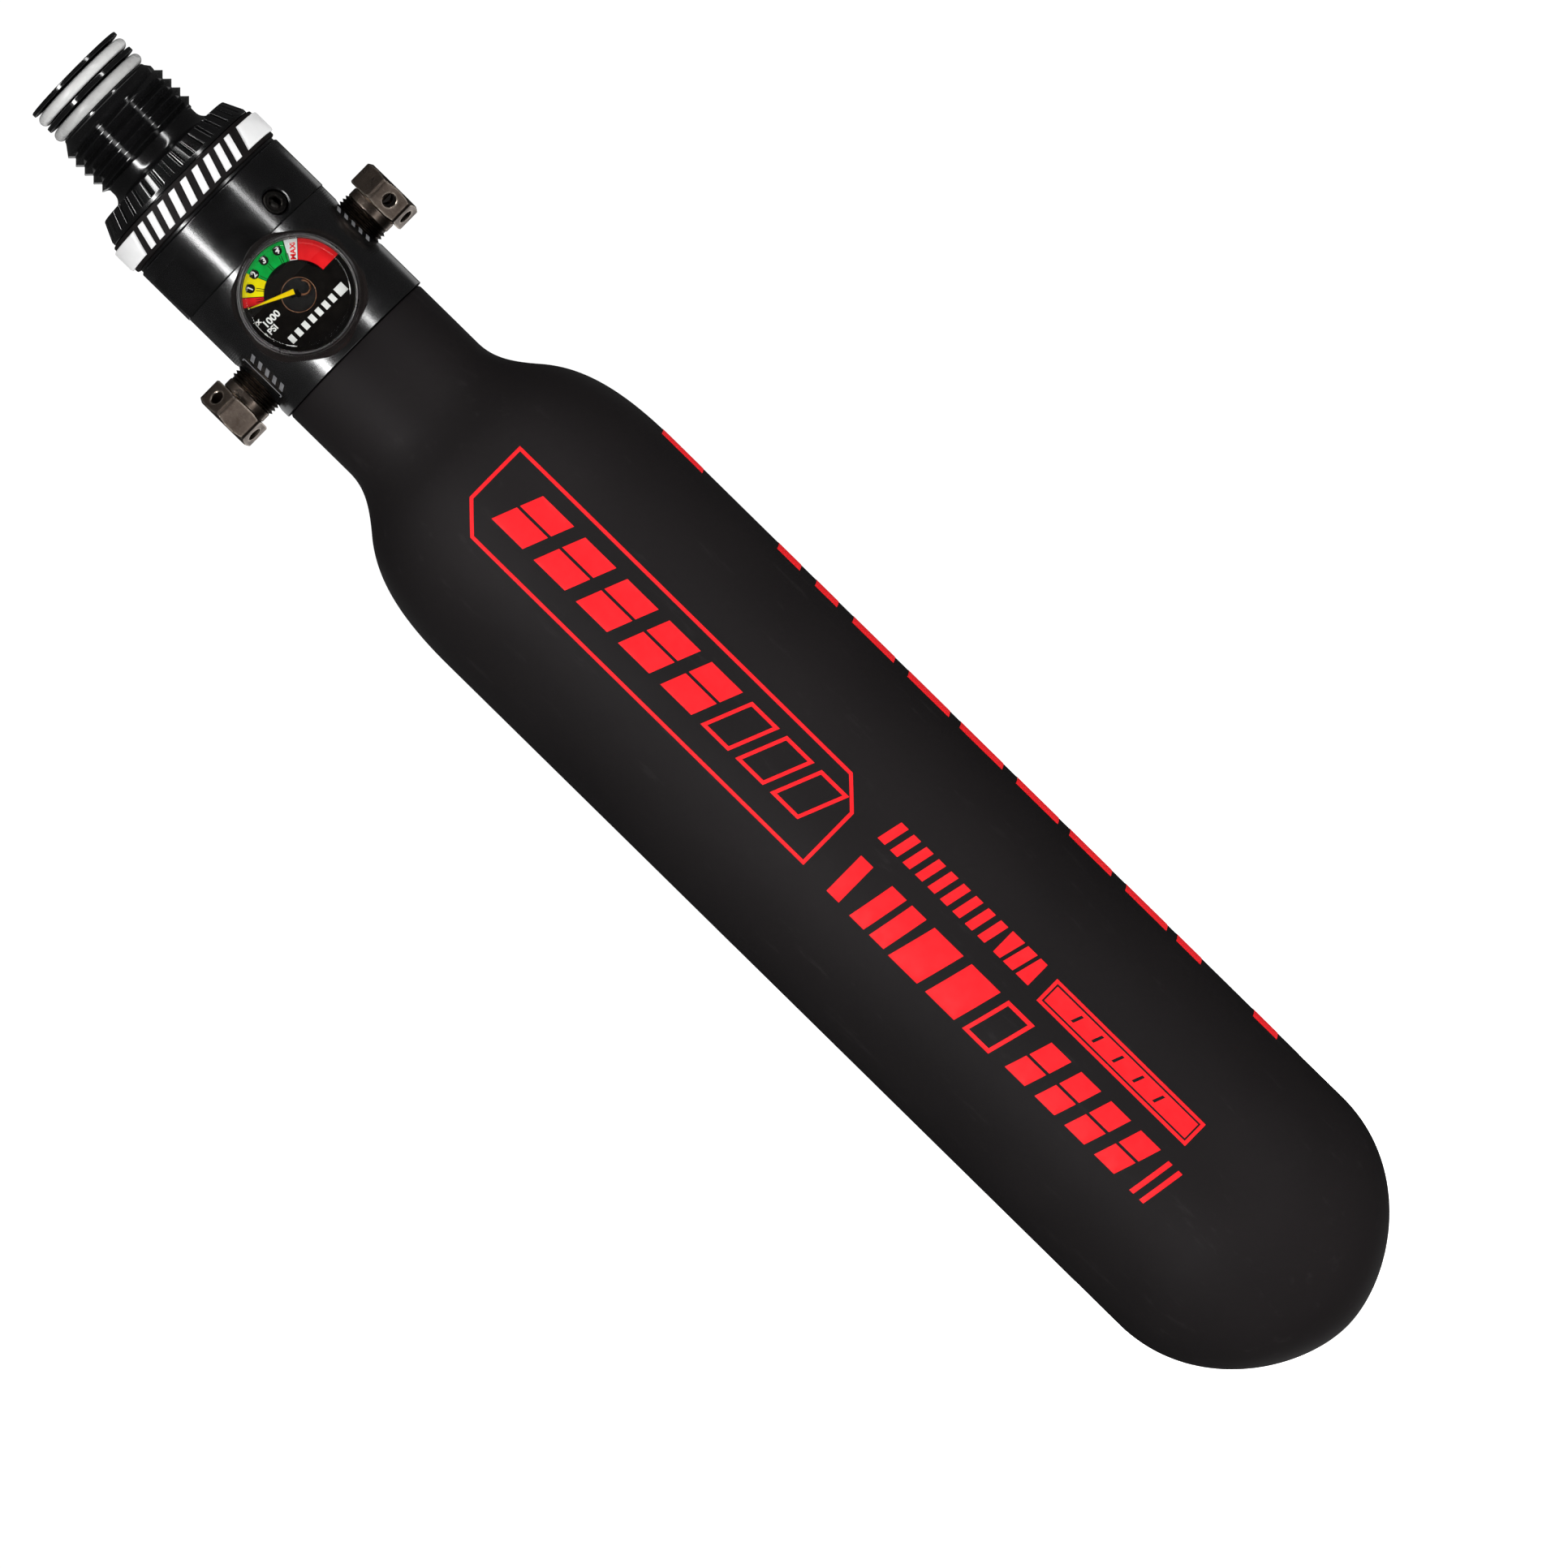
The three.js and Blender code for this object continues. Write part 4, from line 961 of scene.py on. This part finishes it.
for side, place, turn, flats in (
    ("low_pressure", AT_LOW_PORT, PLUG_CORNER, (-90, -30, 90, 150)),
    ("high_pressure", AT_HIGH_PORT, -PLUG_CORNER, (-150, -30, 30, 150)),
):
    head = chamfered_hex(HEX_FLAT, turn, HEX_BASE, HEX_END, BASE_CUT, END_CUT, 5.6)
    head = carved(head, *[vent(turn + a) for a in flats])
    collar = lathe([
        (0, 9.1), (2.1, 9.1, 0), (4.3, 9.1, 0.2), (4.3, 14, 0), (PLUG_ROOT, 14.2, 0),
        (PLUG_ROOT, 16.4, 0.1), (3.95, 16.75, 0.1), (4.24, 17.0, 0.12), (4.24, 18.45, 0.1),
        (PLUG_ROOT, 18.55, 0.05), (PLUG_ROOT, 18.7, 0), (0, 18.7),
    ], 0.1, 4, 96)
    shank = threaded(PLUG_ROOT, 4.5, 0.66, 13.2, 16.8, segments=72)
    # The thread takes the darker copy of the plating: painted shade.
    for part, mesh, look in (("body", joined(head, collar), GUNMETAL), ("thread", shank, GUNMETAL_SHADED)):
        piece(f"{side}_burst_plug_{part}", mesh, look, f"{side}_burst_plug",
              place=place)

# ---- pressure gauge

HEX_BACK, HEX_FRONT, HEX_HALF, TURNED_RADIUS = 16.0, 21.4, 10.32, 10.85
BEZEL_RADIUS, LENS_RADIUS, LENS_FLAT = 9.9, 9.08, 8.13
CUP_FRONT, CASE_CUT = 26.2, 0.5

gauge_hex = hexagon(HEX_HALF, TURNED_RADIUS, GAUGE_CORNER)


def gauge_hex_shape(radius, depth, angle):
    """The case's hexagon, with its corners turned off at both ends."""
    cut = max(0, CASE_CUT - (depth - HEX_BACK), CASE_CUT - (HEX_FRONT - depth))
    return min(gauge_hex(radius, depth, angle), TURNED_RADIUS - cut)


def gauge_piece(name, mesh, look, node=None):
    """A piece of the gauge that doesn't turn."""
    piece(name, mesh, look, node, place=AT_GAUGE)


case_hex = turned(hex_profile(HEX_BACK, HEX_FRONT, 0.7, 0.7, 11.9), shape=gauge_hex_shape,
                  angles=hexagon_angles(GAUGE_CORNER))
case_cup = lathe([
    (0, 7.9), (4.95, 7.9, 0.3), (4.95, 15.8, 0), (9.2, 15.8, 0), (9.4, 21.0, 0), (9.4, CUP_FRONT, 0.2),
    (8.9, CUP_FRONT, 0.1), (8.9, 22.4, 0.2), (0, 22.4),
], 0.1, 3, 144)
gauge_piece("gauge_case_turned", joined(case_hex, case_cup), GAUGE_BLACK, "gauge_case")

bezel = lathe([
    (9.45, HEX_FRONT + 0.06), (BEZEL_RADIUS, HEX_FRONT + 0.06, 0.2), (BEZEL_RADIUS, 26.3, 0.35),
    (9.76, 26.8, 0.12), (9.6, 26.84, 0.04), (9.59, 26.3, 0), (9.45, 26.2, 0),
], 0.15, 6, 200)
gauge_piece("gauge_bezel_ring", bezel, GAUGE_BLACK, "gauge_bezel")
# The lip's light grey stands in for what its curve reflects: painted reflection.
lip_edge = lathe([
    (9.1, 26.22), (9.62, 26.22), (9.62, 26.86, 0.12), (9.36, 27.08, 0.2), (9.1, 26.86, 0.12),
], 0.05, 8, 200)
gauge_piece("gauge_bezel_lip", lip_edge, LIP_PAINTED_REFLECTION, "gauge_bezel")

lens = lathe([
    (0, CUP_FRONT + 0.06), (LENS_RADIUS, CUP_FRONT + 0.06, 0.05), (LENS_RADIUS, GAUGE_FRONT - 0.42, 0.05),
    (LENS_FLAT + 0.14, GAUGE_FRONT - 0.34, 0.05), (LENS_FLAT, GAUGE_FRONT, 0.1), (0, GAUGE_FRONT),
], 0.1, 6, 160)
gauge_piece("gauge_lens_clear", lens, LENS, "gauge_lens")

INK_TOP = DIAL_FACE + 0.03
dial = lathe([
    (DIAL_HOLE, 24.6), (8.85, 24.6), (8.85, DIAL_FACE, 0.05), (DIAL_HOLE, DIAL_FACE, 0.1),
], 0.05, 3, 128)
gauge_piece("gauge_dial_plate", dial, DIAL_BLACK, "gauge_dial")
rim = lathe([(2.7, 24.5), (2.82, 24.5), (2.82, INK_TOP, 0.05), (2.7, INK_TOP, 0.05)], 0.03, 3, 96)
gauge_piece("gauge_dial_rim", rim, RIM_COPPER)


def on_dial(name, shapes, look, *extra, top=INK_TOP):
    """Ink on the dial, from flat shapes and any meshes of lettering."""
    flat = joined(slabs(shapes, top, 0.06, 0.008), *extra) if shapes else joined(*extra)
    gauge_piece(name, flat, look)


def spoke(angle, inner, outer, width):
    """A thin radial line on the dial."""
    a = radians(angle)
    along, across = Vector((cos(a), sin(a))), Vector((-sin(a), cos(a))) * width / 2
    ends = ((inner, -1), (outer, -1), (outer, 1), (inner, 1))
    return [tuple(along * reach + across * side) for reach, side in ends]


INNER, OUTER = 5.5, 8.82
DIGITS = {"1": 127.5, "2": 110, "3": 90.1, "4": 70.5}
for name, look, *arcs in (
    ("green_band", DIAL_GREEN, (60.3, 112.3)), ("yellow_band", DIAL_YELLOW, (112.3, 138)),
    ("red_bands", DIAL_RED, (0.5, 46), (138, 148.5)), ("white_band", DIAL_WHITE, (46, 60.3)),
):
    on_dial("dial_" + name, [sector(INNER, OUTER, *ends) for ends in arcs], look)
NUMBER_AT, NUMBER_LAG = 7.65, 18  # the digits' distance from the middle, and how far they lean back
ticks = [circle(*polar(NUMBER_AT, radians(a)), 0.74, 28) for a in DIGITS.values()]
for a in (*DIGITS.values(), 61.2, 143.0):
    ticks += [spoke(a + off, 5.45, 6.75, 0.11) for off in (-1.6, 1.6)]
ticks += [spoke(61.2, 6.6, OUTER, 0.12), spoke(138, INNER, OUTER, 0.1), spoke(46, INNER, OUTER, 0.08)]
on_dial("dial_ticks", ticks, DIAL_BLACK, top=DIAL_FACE + 0.05)


def on_ring(text, size, angle, radius, turn, lift):
    """Dial lettering whose middle is at an angle and a distance from the middle of the dial."""
    return lettering(text, size, (*polar(radius, radians(angle)), DIAL_FACE + lift), turn)


digits = [on_ring(d, 1.3, a, NUMBER_AT, a - 90 - NUMBER_LAG, 0.06) for d, a in DIGITS.items()]
UNITS = (("x", 1.4, -7.5, 1.55), ("1000", 1.62, -5.75, 0.35), ("PSI", 1.4, -6.75, -0.95))
units = [lettering(text, size, (x, y, INK_TOP)) for text, size, x, y in UNITS]
maker = [bar(-6.1 + 1.5 * k, -5.2 + 1.5 * k, -4.85, -3.5) for k in range(7)]
maker.append(bar(4.4, 6.1, -4.95, -3.3))
on_dial("dial_lettering", maker, DIAL_WHITE, *digits, *units)
on_dial("dial_limit_mark", [], DIAL_RED, on_ring("MAX", 1.2, 51.8, 6.85, 48.5, 0.05))

# The needle: a tapered blade with a folded root that reaches down to its pivot.
blade = [(0.5, -0.45), (7.8, -0.07), (7.86, 0), (7.8, 0.07), (0.5, 0.45)]
blade_mesh = slabs([[(x, y - NEEDLE_OFFSET) for x, y in blade]], DIAL_FACE + 0.5, 0.28, 0.1)
arm_mesh = slabs([bar(-0.2, 1.2, -NEEDLE_OFFSET - 0.1, 0.15)], DIAL_FACE + 0.2, 0.2, 0.05)
post_top = DIAL_FACE + 0.22
post_mesh = lathe([(0, 24.1), (0.42, 24.1), (0.42, post_top), (0, post_top)], 0.08, 3, 32)
at_needle = AT_GAUGE @ Matrix.Rotation(radians(NEEDLE_REST), 4, "Z")
for name, mesh, look in (("blade", blade_mesh, NEEDLE), ("pivot", joined(arm_mesh, post_mesh), HUB_BLACK)):
    piece(f"gauge_needle_{name}", mesh, look, "gauge_needle", "pointer", at_needle)


def hooked(centre, radius, wire, start, sweep, bottom, top, steps=64, sides=16):
    """A flattened tube that rises along an arc about an upright axis, with rounded ends."""
    verts = []
    for i in range(steps + 1):
        t = i / steps
        a = radians(start + sweep * t)
        out = Vector((*polar(1, a), 0))
        middle = Vector((*centre, bottom + (top - bottom) * t)) + out * radius
        end = wire * sqrt(max(0.0, 1 - (2 * t - 1) ** 24))
        for k in range(sides):
            b = TAU * k / sides
            up = Vector((0, 0, 1.3 * end * sin(b)))
            verts.append(tuple(middle + out * end * cos(b) + up))
    rows = [list(range(i * sides, (i + 1) * sides)) for i in range(steps + 1)]
    return mesh_from(verts, [face for ring in zip(rows, rows[1:]) for face in quads(*ring)])


tube = hooked((1.3, 0.35), 1.12, 0.2, 62, -225, 22.9, 24.3)
gauge_piece("gauge_bourdon_tube", tube, RIM_COPPER, "gauge_bourdon_coil")

# ---- fill nipple, on the far side

NIPPLE_HEX, PROBE = 5.55, 4.3
nipple_hex = chamfered_hex(NIPPLE_HEX, 30, 15.4, 18.8, 0.4, 0.5, 6.6)
nipple_probe = lathe([
    (1.2, 8), (4.7, 8, 0.3), (4.7, 18.3, 0), (PROBE, 18.3, 0), (PROBE, FILL_END - 6.6, 0.2),
    (PROBE - 0.8, FILL_END - 6.0, 0.3), (PROBE - 0.8, FILL_END - 4.4, 0.3),
    (PROBE, FILL_END - 3.8, 0.2), (PROBE, FILL_END - 1.2, 0.3),
    (PROBE - 0.8, FILL_END, 0.35), (1.6, FILL_END, 0.1), (1.2, FILL_END - 0.4, 0.1),
], 0.1, 5, 128)
piece("fill_nipple_turned", joined(nipple_hex, nipple_probe), STAINLESS,
      "fill_nipple", place=AT_FILL)

# ---- CAD nodes that stay

KEPT = {
    RUBBER: ("neck_o_ring", "piston_stem_o_ring", "piston_head_o_ring", "valve_pin_seal"),
    BRASS: ("piston", "fill_check_poppet", "fill_spring_stop"),
    POLYMER: ("piston_seat",),
    SPRING: ("spring_shim", *[f"spring_washer_{k}" for k in range(1, 6)], "valve_pin_spring",
             "fill_check_spring"),
    COPPER: [f"{side}_pressure_burst_{part}" for side in ("low", "high") for part in ("disc", "gasket")],
}
for look, names in KEPT.items():
    for name in names:
        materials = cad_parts[name].data.materials
        if materials:
            materials[0] = look
        else:
            materials.append(look)

# ---- floor, light and camera

IMAGE_SIDE, SCALE = 1932, 7.737  # the image's side, and what a millimetre at the axis takes of it
CAMERA_DISTANCE, SENSOR = 3300, 36
CENTRE = Vector((-1.4, 0, 124.5))
ROLL = 45.5  # degrees that the camera is rolled, so that the upright bottle leans in the image

HALF_FLOOR, FLOOR_LEVEL = 30000, -0.3
floor_mesh = bpy.data.meshes.new("floor")
corners = [(x * HALF_FLOOR, y * HALF_FLOOR, FLOOR_LEVEL) for x, y in ((-1, -1), (1, -1), (1, 1), (-1, 1))]
floor_mesh.from_pydata(corners, [], [(0, 1, 2, 3)])
floor_mesh.transform(Matrix.Scale(MM, 4))
floor = added("floor", floor_mesh)

# The paper glows towards the distance, so that it ends in plain white with only a soft shadow near.
paper = Look("floor_paper")
tone = paper.blend(paper.noise(60, 3), srgb(236, 236, 236), srgb(240, 240, 240))
lit = paper.node("BsdfDiffuse", {"Color": tone}).outputs[0]
seen = paper.node("LightPath").outputs["Is Camera Ray"]
sight = paper.node("NewGeometry").outputs
steep = {0: sight["Incoming"], 1: (0, 0, 1)}
slope = paper.node("VectorMath", steep, operation="DOT_PRODUCT").outputs["Value"]
away = paper.node("VectorMath", {0: paper.at}, operation="LENGTH").outputs["Value"]
clear = paper.math("MAXIMUM", paper.level(slope, 0.16, 0.07), paper.level(away, 0.25, 0.9))
glare = paper.times(seen, paper.level(clear, 0, 1, 0.36, 1.0))
lift = paper.node("Emission", {"Color": (1, 1, 1, 1), "Strength": glare}).outputs[0]
paper.output(paper.node("AddShader", {0: lit, 1: lift}).outputs[0])
floor_mesh.materials.append(paper.material)
floor.visible_glossy = floor.visible_shadow = False


def softbox(name, azimuth, elevation, distance, width, height, radiance, rays, aim=150):
    """A rectangular light that faces the axis at the height aim. Azimuth is from the front, positive
    towards +X. rays, glossy or diffuse, are the only ones that it lights."""
    light = bpy.data.lights.new(name, "AREA")
    light.shape, light.size, light.size_y = "RECTANGLE", width * MM, height * MM
    light.energy = radiance * pi * width * height * MM * MM
    lamp = added(name, light)
    e = radians(elevation)
    way = from_front(azimuth) * cos(e) + Vector((0, 0, sin(e)))
    lamp.location = (Vector((0, 0, aim)) + way * distance) * MM
    lamp.rotation_euler = way.to_track_quat("Z", "Y").to_euler()
    lamp.visible_camera = False
    lamp.visible_glossy, lamp.visible_diffuse = rays == "glossy", rays == "diffuse"


# Tall strips for the highlights down the turned parts, and soft light that only fills.
softbox("strip_left", -40, 0, 1300, 170, 2700, 25, "glossy", 1200)
softbox("strip_right", 39, 0, 1300, 110, 2700, 15, "glossy", 1200)
softbox("edge_left", 208, 0, 300, 250, 44, 0.6, "glossy", 220)
softbox("edge_right", 150, 0, 300, 110, 60, 0.5, "glossy", 230)
softbox("low_front", 0, -36, 1300, 700, 420, 1.2, "glossy", 230)
softbox("low_back", 180, -36, 1300, 700, 420, 1.1, "glossy", 230)
softbox("fill_left", -40, 5, 1300, 420, 1500, 6, "diffuse")
softbox("fill_low", 0, -50, 1300, 600, 600, 13, "diffuse", 40)
softbox("fill_right", 40, 5, 1300, 420, 1500, 5.5, "diffuse")
softbox("back_fill", 180, 10, 1300, 420, 1500, 7, "diffuse")
softbox("overhead", 0, 80, 2200, 2600, 2600, 1.3, "diffuse")

world = bpy.data.worlds.new("studio")
SCENE.world = world
sky = Look("studio", world)
rays = sky.node("LightPath").outputs
glow = sky.blend(rays["Is Glossy Ray"], (0.28, 0.28, 0.28, 1), (0.04, 0.04, 0.04, 1))
shown = sky.blend(rays["Is Camera Ray"], glow, (1.05, 1.05, 1.05, 1))
sky.node("OutputWorld", {"Surface": sky.node("Background", {"Color": shown}).outputs[0]})

SCENE.view_settings.view_transform = "Standard"
SCENE.view_settings.look = "None"
SCENE.cycles.caustics_reflective = SCENE.cycles.caustics_refractive = False

camera_data = bpy.data.cameras.new("camera")
camera_data.sensor_width = SENSOR
camera_data.lens = SENSOR * CAMERA_DISTANCE / (IMAGE_SIDE / SCALE)
camera_data.clip_start, camera_data.clip_end = 0.1, 60
camera = added("camera", camera_data)
roll = radians(ROLL)
right = Vector((cos(roll), 0, -sin(roll)))
up = Vector((sin(roll), 0, cos(roll)))
back = Vector((0, -1, 0))
aim = Matrix((right, up, back)).transposed().to_4x4()
camera.matrix_world = Matrix.Translation((CENTRE + back * CAMERA_DISTANCE) * MM) @ aim
SCENE.camera = camera
